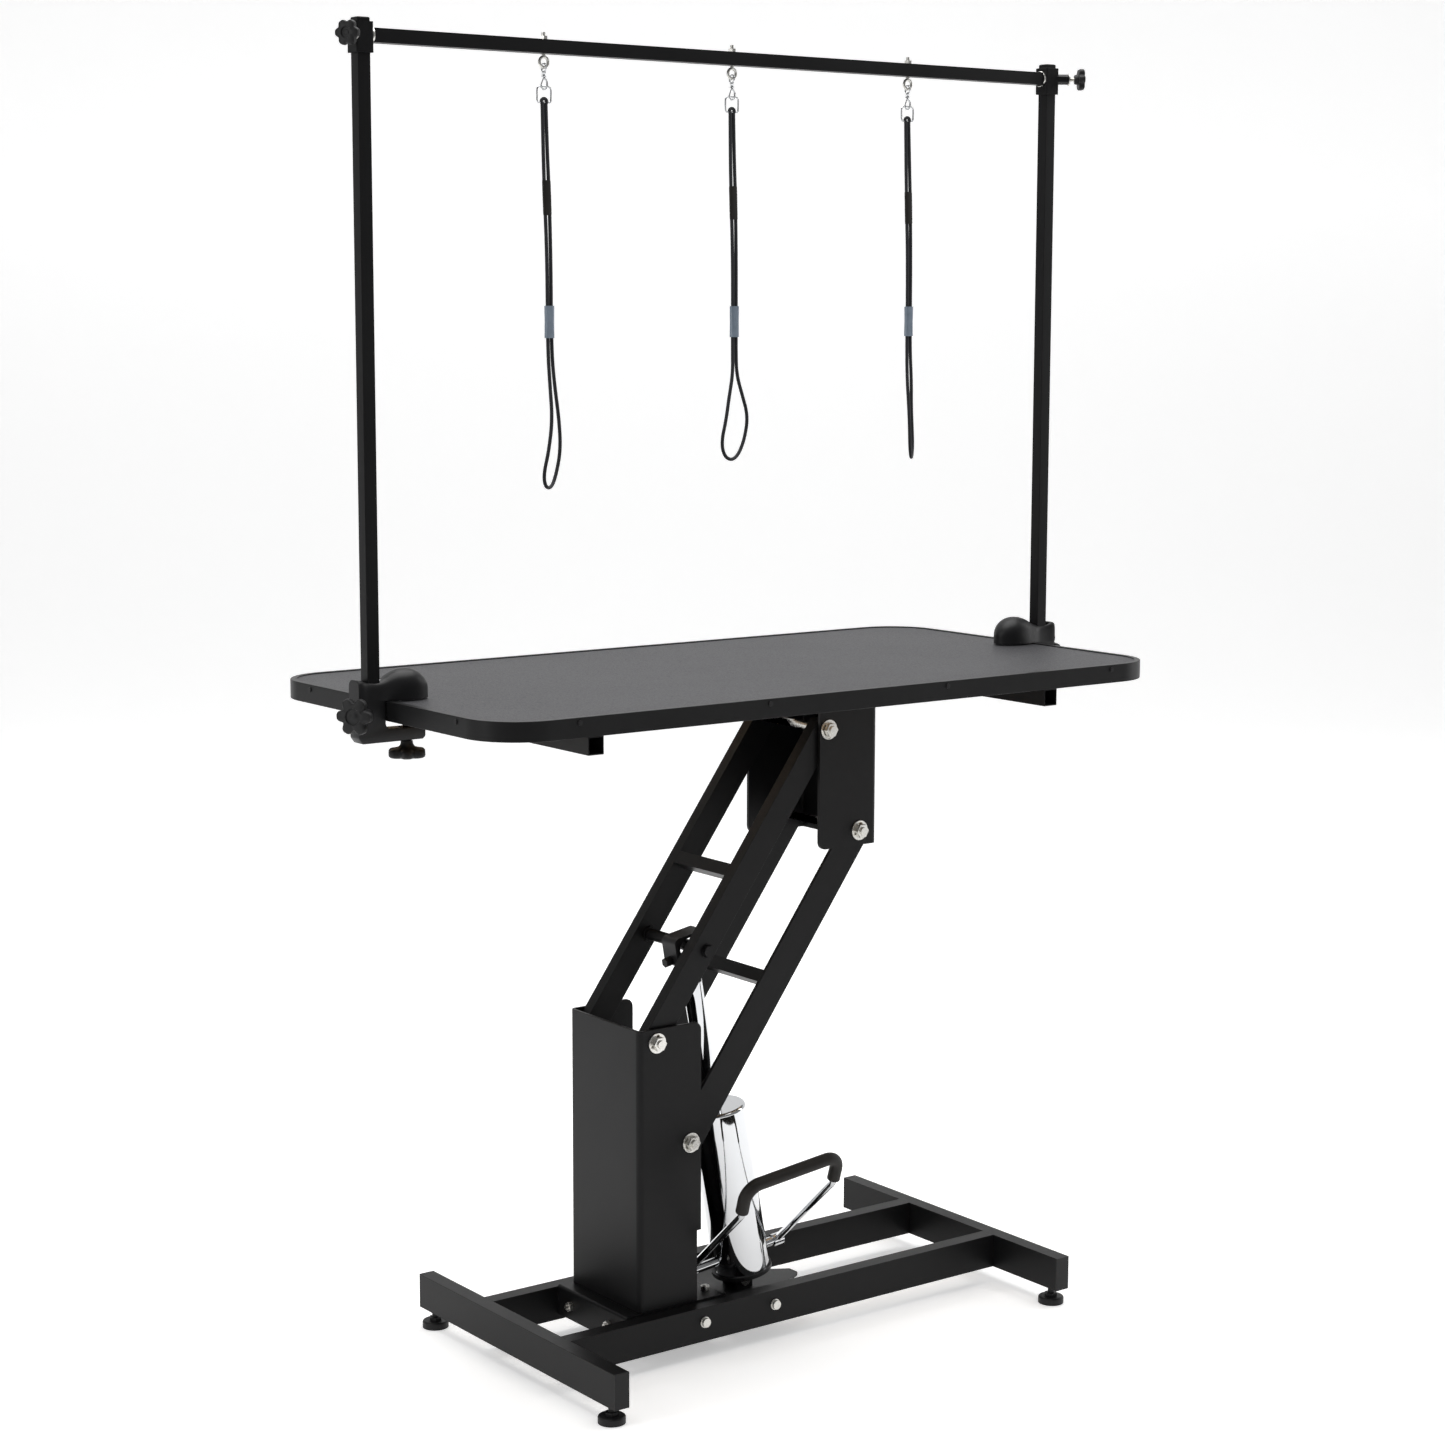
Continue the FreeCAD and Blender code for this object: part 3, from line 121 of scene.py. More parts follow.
class Finish:
    """A procedural material on one Principled shader."""

    def __init__(self, name, constants):
        self.material = bpy.data.materials.new(name)
        self.material.use_nodes = True
        self.tree = self.material.node_tree
        self.shader = self.tree.nodes["Principled BSDF"]
        for key, value in constants.items():
            self.shader.inputs[key].default_value = value

    def node(self, kind, settings=None, sockets=None, output=0):
        node = self.tree.nodes.new(kind)
        for key, value in (settings or {}).items():
            if key == "stops":
                ramp = node.color_ramp
                while len(ramp.elements) < len(value):
                    ramp.elements.new(0.5)
                for element, (place, colour) in zip(ramp.elements, value):
                    element.position = place
                    element.color = colour
            else:
                setattr(node, key, value)
        for key, value in (sockets or {}).items():
            if isinstance(value, Wire):
                self.tree.links.new(value.socket, node.inputs[key])
            else:
                node.inputs[key].default_value = value
        return Wire(self.tree, node.outputs[output])

    def place(self):
        return self.node("ShaderNodeTexCoord", output="Object")

    def stretched(self, scale):
        return self.node("ShaderNodeVectorMath", {"operation": "MULTIPLY"}, {0: self.place(), 1: scale})

    def noise(self, scale, detail=3.0, roughness=0.55, where=None):
        return self.node("ShaderNodeTexNoise", {}, {
            "Vector": where or self.place(), "Scale": scale, "Detail": detail, "Roughness": roughness})

    def speckle(self, scale, where=None):
        return self.node("ShaderNodeTexVoronoi", {"feature": "F1"}, {
            "Vector": where or self.place(), "Scale": scale})

    def part(self, vector, axis):
        return self.node("ShaderNodeSeparateXYZ", {}, {0: vector}, output=axis)

    def tint(self, factor, first, second):
        return self.node("ShaderNodeMix", {"data_type": "RGBA"},
                         {0: factor, 6: (*first, 1.0), 7: (*second, 1.0)}, output=2)

    def feed(self, name, wire):
        self.tree.links.new(wire.socket, self.shader.inputs[name])

    def relief(self, height, strength, distance):
        self.feed("Normal", self.node("ShaderNodeBump", {}, {
            "Strength": strength, "Distance": distance, "Height": height}))


# ---- Finishes ----
def powder_coat():
    """Black powder coat: a faint orange peel, slightly uneven gloss and a trace of dust."""
    f = Finish("black_powder_coat", {"Specular IOR Level": 0.16, "Coat Weight": 0.0, "Coat Roughness": 0.25})
    peel = f.noise(900.0, 2.0)
    cloud = f.noise(7.0, 4.0, 0.6)
    scuff = (f.noise(38.0, 6.0, 0.72) - 0.56).clamped() * 3.0
    tone = (cloud * 0.7 + scuff * 0.3).clamped()
    f.feed("Base Color", f.tint(tone, (0.0040, 0.0040, 0.0044), (0.0085, 0.0085, 0.0090)))
    f.feed("Roughness", cloud * 0.12 + peel * 0.05 + scuff * 0.05 + 0.32)
    f.relief(peel, 0.09, 0.0004)
    return f.material


def satin_casting():
    """Thick satin black paint over a casting."""
    f = Finish("satin_casting", {"Specular IOR Level": 0.26})
    grain = f.noise(420.0, 3.0)
    cloud = f.noise(16.0, 4.0, 0.6)
    f.feed("Base Color", f.tint(cloud, (0.0055, 0.0055, 0.006), (0.012, 0.012, 0.013)))
    f.feed("Roughness", cloud * 0.14 + grain * 0.06 + 0.33)
    f.relief(grain * 0.7 + cloud * 0.3, 0.12, 0.0006)
    return f.material


def chrome_plate():
    f = Finish("chrome_plate", {"Metallic": 1.0})
    haze = f.noise(5.0, 5.0, 0.6)
    smear = f.noise(30.0, 4.0, 0.6, f.stretched((1.0, 1.0, 0.15)))
    f.feed("Base Color", f.tint(haze, (0.55, 0.56, 0.575), (0.66, 0.67, 0.68)))
    f.feed("Roughness", haze * 0.03 + (smear - 0.5).clamped() * 0.14 + 0.035)
    f.relief(haze, 0.02, 0.002)
    return f.material


def bright_zinc():
    """Zinc plated fasteners: fine turning marks and small cloudy patches."""
    f = Finish("bright_zinc", {"Metallic": 1.0})
    cloud = f.noise(90.0, 4.0, 0.65)
    fine = f.noise(1300.0, 2.0)
    f.feed("Base Color", f.tint(cloud, (0.50, 0.49, 0.46), (0.80, 0.79, 0.76)))
    f.feed("Roughness", cloud * 0.2 + fine * 0.08 + 0.14)
    f.relief(fine, 0.12, 0.0003)
    return f.material


def drawn_steel():
    f = Finish("drawn_steel", {"Metallic": 1.0})
    streak = f.noise(240.0, 3.0, 0.6, f.stretched((1.0, 1.0, 0.04)))
    f.feed("Base Color", f.tint(streak, (0.33, 0.33, 0.34), (0.55, 0.55, 0.56)))
    f.feed("Roughness", streak * 0.2 + 0.24)
    f.relief(streak, 0.08, 0.0004)
    return f.material


def grip_rubber():
    """A soft dark sleeve with a fine pebbled skin."""
    f = Finish("grip_rubber", {"Specular IOR Level": 0.22})
    pebble = f.speckle(900.0)
    cloud = f.noise(40.0, 4.0)
    f.feed("Base Color", f.tint(cloud, (0.007, 0.006, 0.005), (0.016, 0.014, 0.012)))
    f.feed("Roughness", cloud * 0.16 + pebble * 0.1 + 0.40)
    f.relief(pebble, 0.25, 0.0004)
    return f.material


def tabletop_rubber():
    """The dark mat: a fine leather-like pebble, its hollows painted darker than its lighter crowns as painted
    shade.
    """
    f = Finish("tabletop_rubber", {"Specular IOR Level": 0.30, "Sheen Weight": 0.05, "Sheen Roughness": 0.5})
    pebble = f.speckle(430.0, f.stretched((1.0, 0.8, 1.0)))
    fine = f.noise(1500.0, 2.0)
    cloud = f.noise(3.5, 5.0, 0.6)
    rub = (f.noise(55.0, 6.0, 0.7, f.stretched((0.35, 1.0, 1.0))) - 0.5).clamped() * 2.0
    # Tone: random cloud and rubbed wear, plus painted shade from (1 - pebble) that darkens the hollows between
    # the pebbles and leaves the crowns lighter.
    tone = (cloud * 0.55 + (1 - pebble) * 0.25 + rub * 0.3).clamped()
    f.feed("Base Color", f.tint(tone, (0.017, 0.017, 0.0195), (0.034, 0.034, 0.038)))
    f.feed("Roughness", cloud * 0.12 + pebble * 0.15 + 0.42)
    f.relief(pebble * -1.0 + fine * 0.35, 0.35, 0.0007)
    return f.material


def edge_moulding():
    f = Finish("edge_moulding", {"Specular IOR Level": 0.16})
    grain = f.noise(650.0, 3.0)
    cloud = f.noise(9.0, 4.0)
    f.feed("Base Color", f.tint(cloud, (0.005, 0.005, 0.0053), (0.011, 0.011, 0.0115)))
    f.feed("Roughness", cloud * 0.12 + grain * 0.08 + 0.30)
    f.relief(grain, 0.10, 0.0004)
    return f.material


def moulded_plastic():
    """Black moulded plastic with a fine spark texture."""
    f = Finish("moulded_plastic", {"Specular IOR Level": 0.24})
    spark = f.noise(1100.0, 3.0)
    cloud = f.noise(30.0, 4.0)
    f.feed("Base Color", f.tint(cloud, (0.006, 0.006, 0.0063), (0.013, 0.013, 0.0135)))
    f.feed("Roughness", cloud * 0.14 + spark * 0.12 + 0.34)
    f.relief(spark, 0.22, 0.0004)
    return f.material


def plywood():
    """The board's underside: straight grain, darker pores and a few warm bands."""
    f = Finish("plywood", {"Specular IOR Level": 0.35})
    along = f.stretched((0.9, 14.0, 14.0))
    grain = f.noise(11.0, 6.0, 0.62, along)
    pores = (f.noise(160.0, 3.0, 0.6, f.stretched((0.05, 1.0, 1.0))) - 0.55).clamped() * 4.0
    tone = (grain * 0.8 + pores * 0.35).clamped()
    f.feed("Base Color", f.tint(tone, (0.46, 0.33, 0.20), (0.25, 0.16, 0.085)))
    f.feed("Roughness", grain * 0.2 + 0.5)
    f.relief(grain * 0.5 + pores, 0.2, 0.0004)
    return f.material


def braided_rope():
    """Black braided cord: two sets of diagonal strands from the tube's own length and turn, with painted shade
    darkening the gaps between the strands.
    """
    f = Finish("braided_rope", {"Specular IOR Level": 0.2, "Sheen Weight": 0.06, "Sheen Roughness": 0.4})
    lay = f.node("ShaderNodeUVMap", {"uv_map": "lay"})
    along = f.part(lay, "X")
    around = f.part(lay, "Y")
    left = (along * 420.0 + around * 6.0).fraction()
    right = (along * 420.0 - around * 6.0).fraction()
    strand = abs(left - 0.5) * abs(right - 0.5) * 4.0
    fuzz = f.noise(2600.0, 2.0)
    # Tone: painted shade darkens the gaps between strands, where the relief dips; fuzz adds a random tone.
    tone = (strand * 0.8 + fuzz * 0.25).clamped()
    f.feed("Base Color", f.tint(tone, (0.026, 0.027, 0.031), (0.007, 0.007, 0.009)))
    f.feed("Roughness", strand * 0.2 + fuzz * 0.12 + 0.52)
    f.relief(fuzz * 0.2 - strand, 0.5, 0.0006)
    return f.material


def slider_plastic():
    """Smoky grey-blue sleeve, slightly cloudy."""
    f = Finish("slider_plastic", {"Specular IOR Level": 0.5, "Coat Weight": 0.4, "Coat Roughness": 0.08})
    cloud = f.noise(60.0, 4.0)
    rib = f.noise(500.0, 2.0, 0.5, f.stretched((1.0, 1.0, 0.1)))
    f.feed("Base Color", f.tint(cloud, (0.10, 0.13, 0.17), (0.23, 0.28, 0.34)))
    f.feed("Roughness", cloud * 0.15 + rib * 0.08 + 0.12)
    f.relief(rib, 0.15, 0.0004)
    return f.material


FINISHES = {
    "black_frame": powder_coat(),
    "black_casting": satin_casting(),
    "chrome": chrome_plate(),
    "zinc": bright_zinc(),
    "steel_tube": drawn_steel(),
    "grip_rubber": grip_rubber(),
    "mat_rubber": tabletop_rubber(),
    "trim": edge_moulding(),
    "black_plastic": moulded_plastic(),
    "board": plywood(),
    "rope": braided_rope(),
    "slider": slider_plastic(),
}
SLOT_OF = {part["node"]: part["material_slot"] for part in frame["record"]["subparts"]}


def paint_frame():
    """Every CAD piece that stays in view gets its slot's finish."""
    for name, piece in frame["nodes"].items():
        piece.data.materials.clear()
        piece.data.materials.append(FINISHES[SLOT_OF[name]])


paint_frame()


# ---- Mesh helpers ----
def add_piece(name, mesh, slot, body, stands_for=()):
    """A piece from a finished mesh: smooth shaded, painted, riding on its body."""
    piece = bpy.data.objects.new(name, mesh)
    bpy.context.collection.objects.link(piece)
    mesh.materials.clear()
    mesh.materials.append(FINISHES[slot])
    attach(piece, body)
    if stands_for:
        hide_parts(*stands_for)
    return piece


def settle(mesh, angle=40.0):
    """Smooth shading with sharp edges only where faces meet at more than the angle."""
    bm = bmesh.new()
    bm.from_mesh(mesh)
    bmesh.ops.recalc_face_normals(bm, faces=bm.faces)
    limit = math.radians(angle)
    for face in bm.faces:
        face.smooth = True
    for edge in bm.edges:
        edge.smooth = len(edge.link_faces) == 2 and edge.calc_face_angle(0.0) < limit
    bm.to_mesh(mesh)
    bm.free()
    return mesh


def skin(name, rings, caps=True, loop=False):
    """A mesh from rings of points: quads between neighbours, and a face on each end ring or a closed loop."""
    count = len(rings[0])
    points = [tuple(p) for ring in rings for p in ring]
    faces = []
    pairs = list(zip(range(len(rings)), range(1, len(rings))))
    if loop:
        pairs.append((len(rings) - 1, 0))
    for a, b in pairs:
        for i in range(count):
            j = (i + 1) % count
            faces.append((a * count + i, a * count + j, b * count + j, b * count + i))
    if caps and not loop:
        faces.append(tuple(range(count)))
        faces.append(tuple((len(rings) - 1) * count + i for i in range(count)))
    mesh = bpy.data.meshes.new(name)
    mesh.from_pydata(points, [], faces)
    return settle(mesh)


def joined(name, meshes):
    """Several meshes as one."""
    bm = bmesh.new()
    for mesh in meshes:
        bm.from_mesh(mesh)
    whole = bpy.data.meshes.new(name)
    bm.to_mesh(whole)
    bm.free()
    return whole


def softened(node, width, angle=32.0, segments=2):
    """A CAD piece again with its edges broken by a small round, as paint and pressing leave them."""
    source = frame["nodes"][node]
    mesh = source.data.copy()
    bm = bmesh.new()
    bm.from_mesh(mesh)
    bmesh.ops.remove_doubles(bm, verts=bm.verts, dist=2e-6)
    bmesh.ops.dissolve_limit(bm, angle_limit=math.radians(0.6), verts=bm.verts, edges=bm.edges)
    for face in bm.faces:
        face.smooth = True
    bm.to_mesh(mesh)
    bm.free()
    maker = bpy.data.objects.new("maker", mesh)
    bpy.context.collection.objects.link(maker)
    bevel = maker.modifiers.new("round", "BEVEL")
    bevel.width = width
    bevel.segments = segments
    bevel.limit_method = "ANGLE"
    bevel.angle_limit = math.radians(angle)
    bevel.use_clamp_overlap = True
    weigh = maker.modifiers.new("weigh", "WEIGHTED_NORMAL")
    weigh.keep_sharp = True
    bpy.context.view_layer.update()
    done = bpy.data.meshes.new_from_object(maker.evaluated_get(bpy.context.evaluated_depsgraph_get()))
    bpy.data.objects.remove(maker)
    done.name = node + "_finished"
    return add_piece(done.name, done, SLOT_OF[node], BODY_OF[node], (node,))


# ---- Grooming loops ----
# A point is its offset across from its eye bolt's x, its depth, and its height above the floor, in millimetres.
EYE_BOLT_X = {"left": -328.0, "middle": -3.0, "right": 330.0}
ARM_Y = -12.0
LOOP_TURN = math.radians(37.0)
ROPE_RADIUS = 2.6
ROPE_ROUTES = {
    "left": [
        (-2.9, 0, 1828.2), (-2.1, 0, 1770), (-0.3, 0, 1706), (3.4, 0, 1614), (3.4, 0, 1490), (7.4, -6, 1440),
        (11.6, -14, 1392), (5.5, -20, 1348), (-3.5, -18, 1316), (-1.0, -8, 1297), (8.0, 9, 1296),
        (15.5, 19, 1316), (22.5, 21, 1349), (20.6, 14, 1392), (14.0, 6, 1440), (9.6, 0, 1490), (9.6, 0, 1614),
        (7.4, 0, 1706), (4.4, 0, 1770), (2.9, 0, 1828.2)],
    "middle": [
        (-2.9, 0, 1828.2), (-2.6, 0, 1770), (-0.8, 0, 1706), (2.4, 0, 1614), (2.4, 0, 1490), (2.9, -3, 1452),
        (-3.5, -8, 1420), (-9.0, -12, 1386), (-17.5, -12, 1354), (-13.0, -6, 1333), (1.0, 0, 1325),
        (14.5, 6, 1334), (25.5, 11, 1358), (31.0, 12, 1390), (20.0, 8, 1422), (9.6, 3, 1452), (8.6, 0, 1490),
        (8.6, 0, 1614), (7.0, 0, 1706), (4.2, 0, 1770), (2.9, 0, 1828.2)],
    "right": [
        (-2.9, 0, 1828.2), (-1.6, 0, 1770), (0.4, 0, 1706), (4.0, 0, 1614), (4.0, 0, 1490), (5.0, -6, 1440),
        (8.4, -14, 1398), (10.0, -20, 1366), (11.0, -18, 1338), (14.0, -8, 1320), (17.5, 9, 1320),
        (19.5, 19, 1339), (18.0, 21, 1367), (15.5, 14, 1398), (14.4, 6, 1440), (10.2, 0, 1490), (10.2, 0, 1614),
        (8.0, 0, 1706), (5.2, 0, 1770), (2.9, 0, 1828.2)]}


def route_points(side):
    return [Vector((EYE_BOLT_X[side] + across + depth * math.sin(LOOP_TURN),
                    ARM_Y + depth * math.cos(LOOP_TURN), height)) * MM - Vector((BOX_MIDDLE, 0, 0))
            for across, depth, height in ROPE_ROUTES[side]]


def smooth_line(name, points):
    """The points along the NURBS spline that has these control points."""
    data = bpy.data.curves.new(name, "CURVE")
    data.dimensions = "3D"
    data.resolution_u = 14
    spline = data.splines.new("NURBS")
    spline.points.add(len(points) - 1)
    for place, point in zip(spline.points, points):
        place.co = (*point, 1.0)
    spline.order_u = 3
    spline.use_endpoint_u = True
    holder = bpy.data.objects.new(name, data)
    bpy.context.collection.objects.link(holder)
    bpy.context.view_layer.update()
    line = bpy.data.meshes.new_from_object(holder.evaluated_get(bpy.context.evaluated_depsgraph_get()))
    path = [v.co.copy() for v in line.vertices]
    bpy.data.objects.remove(holder)
    bpy.data.meshes.remove(line)
    return path


def tube_along(name, path, radius, sides=20):
    """A round tube that follows a path, with its length and turn kept as the lay map."""
    rings = []
    lengths = [0.0]
    for a, b in zip(path, path[1:]):
        lengths.append(lengths[-1] + (b - a).length)
    side = Vector((0, 1, 0))
    for i, point in enumerate(path):
        ahead = (path[min(i + 1, len(path) - 1)] - path[max(i - 1, 0)]).normalized()
        side = (side - ahead * side.dot(ahead)).normalized()
        other = ahead.cross(side)
        ring = []
        for k in range(sides):
            angle = 2 * math.pi * k / sides
            ring.append(point + (side * math.cos(angle) + other * math.sin(angle)) * radius)
        rings.append(ring)
    mesh = bpy.data.meshes.new(name)
    faces = []
    lay = []
    for a in range(len(rings) - 1):
        for k in range(sides):
            j = (k + 1) % sides
            faces.append((a * sides + k, a * sides + j, (a + 1) * sides + j, (a + 1) * sides + k))
            turn = (k / sides, (k + 1) / sides)
            lay += [(lengths[a], turn[0]), (lengths[a], turn[1])]
            lay += [(lengths[a + 1], turn[1]), (lengths[a + 1], turn[0])]
    for end in (0, len(rings) - 1):
        faces.append(tuple(end * sides + k for k in range(sides)))
        lay += [(lengths[end], 0.0)] * sides
    mesh.from_pydata([tuple(p) for ring in rings for p in ring], [], faces)
    uv = mesh.uv_layers.new(name="lay")
    for corner, value in zip(uv.data, lay):
        corner.uv = value
    return settle(mesh, 60.0), lengths[-1]


def rope_loop(side):
    """One grooming loop: the braided rope, and the fold that carries it over the D-ring."""
    body = "loop_" + side
    points = route_points(side)
    path = smooth_line("rope_" + side + "_line", points)
    mesh, length = tube_along("grooming_rope_" + side, path, ROPE_RADIUS * MM)
    rope = add_piece("grooming_rope_" + side, mesh, "rope", body, ("rope_" + side,))
    slider = slider_sleeve(side)
    fold = rope_fold(side)
    band = whipping(side, path)


def rope_fold(side):
    """The short bend of rope over the D-ring's straight side, joining the two strands."""
    ends = route_points(side)
    left, right = ends[0], ends[-1]
    middle = (left + right) / 2
    bar = Vector((middle.x, middle.y, middle.z + 2.4 * MM))
    reach = 4.5 * MM
    path = [left - Vector((0, 0, 1.2 * MM)), left]
    for k in range(0, 13):
        angle = math.pi - math.pi * k / 12
        path.append(bar + Vector((reach * math.cos(angle), 0, reach * math.sin(angle))))
    path += [right, right - Vector((0, 0, 1.2 * MM))]
    mesh, _ = tube_along("rope_fold_" + side, path, ROPE_RADIUS * MM * 0.98)
    return add_piece("rope_fold_" + side, mesh, "rope", "loop_" + side)


def whipping(side, path):
    """The bound length where both strands are wrapped together, a little below the D-ring."""
    rings = []
    for k in range(21):
        z = (1676.0 + 48.0 * k / 20) * MM
        near = sorted(path, key=lambda p: abs(p.z - z))
        left = min(near[:4], key=lambda p: p.x)
        right = max(near[:4], key=lambda p: p.x)
        grow = (0.25 + 0.12 * (k % 2)) * MM if 0 < k < 20 else 0.0
        half = (right.x - left.x) / 2 + ROPE_RADIUS * MM + grow
        middle = (left + right) / 2
        rings.append(oval_ring(middle.x, middle.y, z, half, ROPE_RADIUS * MM + grow))
    mesh = skin("rope_whipping_" + side, rings)
    return add_piece("rope_whipping_" + side, mesh, "grip_rubber", "loop_" + side)


def slider_sleeve(side):
    """The oval sleeve that pinches the two strands, softly flared at both mouths."""
    low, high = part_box("slider_" + side)
    middle = (low + high) / 2
    half = (high - low) / 2
    wall = 1.3 * MM
    rings = []
    steps = [(0.0, 0.35), (0.0, 0.0), (0.04, -0.12), (0.5, 0.22), (0.96, -0.12), (1.0, 0.0), (1.0, 0.35),
             (0.97, 1.0), (0.5, 1.0), (0.03, 1.0)]
    for share, inset in steps:
        z = low.z + (high.z - low.z) * share
        shrink = wall * inset
        rings.append(oval_ring(middle.x, middle.y, z, half.x - max(shrink, 0), half.y - max(shrink, 0)))
    mesh = skin("rope_slider_" + side, rings, loop=True)
    return add_piece("rope_slider_" + side, mesh, "slider", "rope_slider_" + side, ("slider_" + side,))


def oval_ring(x, y, z, half_x, half_y, count=32):
    """A flat-sided oval, its ends half circles."""
    straight = half_x - half_y
    ring = []
    for k in range(count):
        angle = 2 * math.pi * (k + 0.5) / count
        shift = straight if math.cos(angle) > 0 else -straight
        ring.append(Vector((x + shift + half_y * math.cos(angle), y + half_y * math.sin(angle), z)))
    return ring


for each_side in EYE_BOLT_X:
    rope_loop(each_side)


# ---- Turned and lobed pieces ----
def turned_rings(profile, count=48, lobes=0, depth=0.0):
    """Rings about Z from (radius, height, lobe share): a share of 0 is round and 1 has the full lobes."""
    rings = []
    for radius, height, share in profile:
        ring = []
        for k in range(count):
            angle = 2 * math.pi * k / count
            wave = (0.5 - 0.5 * math.cos(lobes * angle)) ** 2.0 if lobes else 0.0
            reach = radius * (1 - depth * share * wave)
            ring.append(Vector((reach * math.cos(angle), reach * math.sin(angle), height)))
        rings.append(ring)
    return rings


def facing(direction, place):
    """The move that takes a piece built along +Z to a place and a direction."""
    return Matrix.Translation(place) @ Vector(direction).to_track_quat("Z", "Y").to_matrix().to_4x4()


def turned_mesh(name, profile, direction, place, count=48, lobes=0, depth=0.0, angle=40.0):
    mesh = skin(name, [[p * MM for p in ring] for ring in turned_rings(profile, count, lobes, depth)])
    mesh.transform(facing(direction, place))
    return settle(mesh, angle)


def star_knob(radius, height, lobes, depth, hub_radius, hub_length, stud_radius, stud_length):
    """The profile of a lobed knob: its stud, its hub, its rounded back, rim and front, and a dished boss."""
    edge = 0.20 * height
    return [(stud_radius, -hub_length - stud_length, 0), (stud_radius, -hub_length, 0),
            (hub_radius * 0.92, -hub_length, 0), (hub_radius, -hub_length + 0.6, 0), (hub_radius * 1.12, 0, 0),
            (radius - 2.2 * edge, 0.0, 0.8), (radius - 0.7 * edge, 0.3 * edge, 1), (radius, 1.2 * edge, 1),
            (radius, height - 1.4 * edge, 1), (radius - 0.35 * edge, height - 0.5 * edge, 1),
            (radius - 1.3 * edge, height - 0.06 * edge, 1), (radius * 0.56, height, 0.5),
            (radius * 0.46, height + 0.4, 0), (radius * 0.43, height + 0.2, 0),
            (radius * 0.40, height - 1.4, 0), (radius * 0.20, height - 1.7, 0),
            (radius * 0.17, height - 1.2, 0), (radius * 0.05, height - 1.1, 0)]


KNOB_TURN = math.radians(32.0)
POST_OUT = 617.0 * MM
POST_X = {"left": -POST_OUT - BOX_MIDDLE, "right": POST_OUT - BOX_MIDDLE}
# Out from the post's middle line, in millimetres.
LOCK_KNOB_OUT = 40.0
SLEEVE_KNOB_OUT = {"left": 30.0, "right": 49.0}
SLEEVE_KNOB_HUB = {"left": 8.0, "right": 5.5}
SLEEVE_BOSS_END = {"left": 21.0, "right": 33.0}
ROD_STOP = 14.5


def knob_direction(side, forward):
    """Out from the post and partly to the front, or to the rear where forward is -1."""
    outward = -1 if side == "left" else 1
    return Vector((outward * math.cos(KNOB_TURN), -forward * math.sin(KNOB_TURN), 0))


def threaded_rod(radius, start, end, pitch=1.0, depth=0.45):
    """The profile of a threaded rod from a start to an end height."""
    thread = [(radius - depth, start, 0)]
    for k in range(int((end - start) / pitch) - 1):
        thread += [(radius, start + (k + 0.5) * pitch, 0), (radius - depth, start + (k + 1) * pitch, 0)]
    thread.append((radius - depth, end, 0))
    return thread


for knob_side, outward in (("left", -1), ("right", 1)):
    low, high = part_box("post_knob_" + knob_side)
    post = Vector((POST_X[knob_side], ARM_Y * MM, (low.z + high.z) / 2))
    direction = knob_direction(knob_side, -outward)
    face = post + direction * LOCK_KNOB_OUT * MM
    add_piece("post_lock_knob_" + knob_side,
              turned_mesh("post_lock_knob_" + knob_side,
                          star_knob(26.5, 11.0, 6, 0.30, 11.0, 13.5, 4.0, 11.0), direction, face, 96, 6, 0.30),
              "black_plastic", "lock_knob_" + knob_side, ("post_knob_" + knob_side,))
    low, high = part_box("sleeve_knob_" + knob_side)
    post.z = (low.z + high.z) / 2
    direction = knob_direction(knob_side, 1)
    gap = SLEEVE_KNOB_OUT[knob_side]
    face = post + direction * gap * MM
    knob_profile = star_knob(17.5, 9.5, 6, 0.20, 7.4, SLEEVE_KNOB_HUB[knob_side], 3.0, 0.5)
    knob = turned_mesh("bar_lock_knob_" + knob_side, knob_profile, direction, face, 96, 6, 0.20)
    add_piece("bar_lock_knob_" + knob_side, knob, "black_plastic", "bar_knob_" + knob_side,
              ("sleeve_knob_" + knob_side,))
    rod = turned_mesh("bar_lock_rod_" + knob_side, threaded_rod(3.0, 0.0, gap - ROD_STOP), -direction, face, 24,
                      angle=70.0)
    add_piece("bar_lock_rod_" + knob_side, rod, "zinc", "bar_knob_" + knob_side)
    washer_profile = [(3.3, 0, 0), (9.6, 0, 0), (10.2, 0.5, 0), (10.2, 1.5, 0), (9.6, 2.0, 0), (3.3, 2.0, 0)]
    washer_place = post + direction * (SLEEVE_BOSS_END[knob_side] + 0.2) * MM
    washer = turned_mesh("bar_lock_washer_" + knob_side, washer_profile, direction, washer_place, 40)
    add_piece("bar_lock_washer_" + knob_side, washer, "zinc", "arm_crossbar")
    low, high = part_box("clamp_screw_" + knob_side)
    middle = Vector(((low.x + high.x) / 2, (low.y + high.y) / 2, low.z))
    height = (high.z - low.z) / MM
    screw = [(20.0, 0.0, 1), (24.6, 0.8, 1), (27.0, 2.6, 1), (27.5, 5.0, 1), (27.2, 9.5, 1), (25.0, 12.0, 1),
             (19.0, 13.2, 0.7), (13.0, 14.6, 0.2), (10.0, 17.0, 0), (8.6, 20.0, 0), (8.4, 23.4, 0),
             (7.4, 24.0, 0), (6.0, 24.0, 0)]
    pitch = 1.6
    for k in range(int((height - 5.0 - 25.0) / pitch)):
        screw += [(6.0, 24.4 + k * pitch, 0), (5.4, 24.4 + (k + 0.5) * pitch, 0)]
    screw += [(6.0, height - 6.0, 0), (8.0, height - 5.6, 0), (12.4, height - 5.0, 0), (13.0, height - 4.4, 0),
              (13.0, height - 0.6, 0), (12.4, height, 0)]
    add_piece("clamp_spindle_knob_" + knob_side,
              turned_mesh("clamp_spindle_knob_" + knob_side, screw, (0, 0, 1), middle, 96, 6, 0.24),
              "black_plastic", "clamp_spindle_" + knob_side, ("clamp_screw_" + knob_side,))


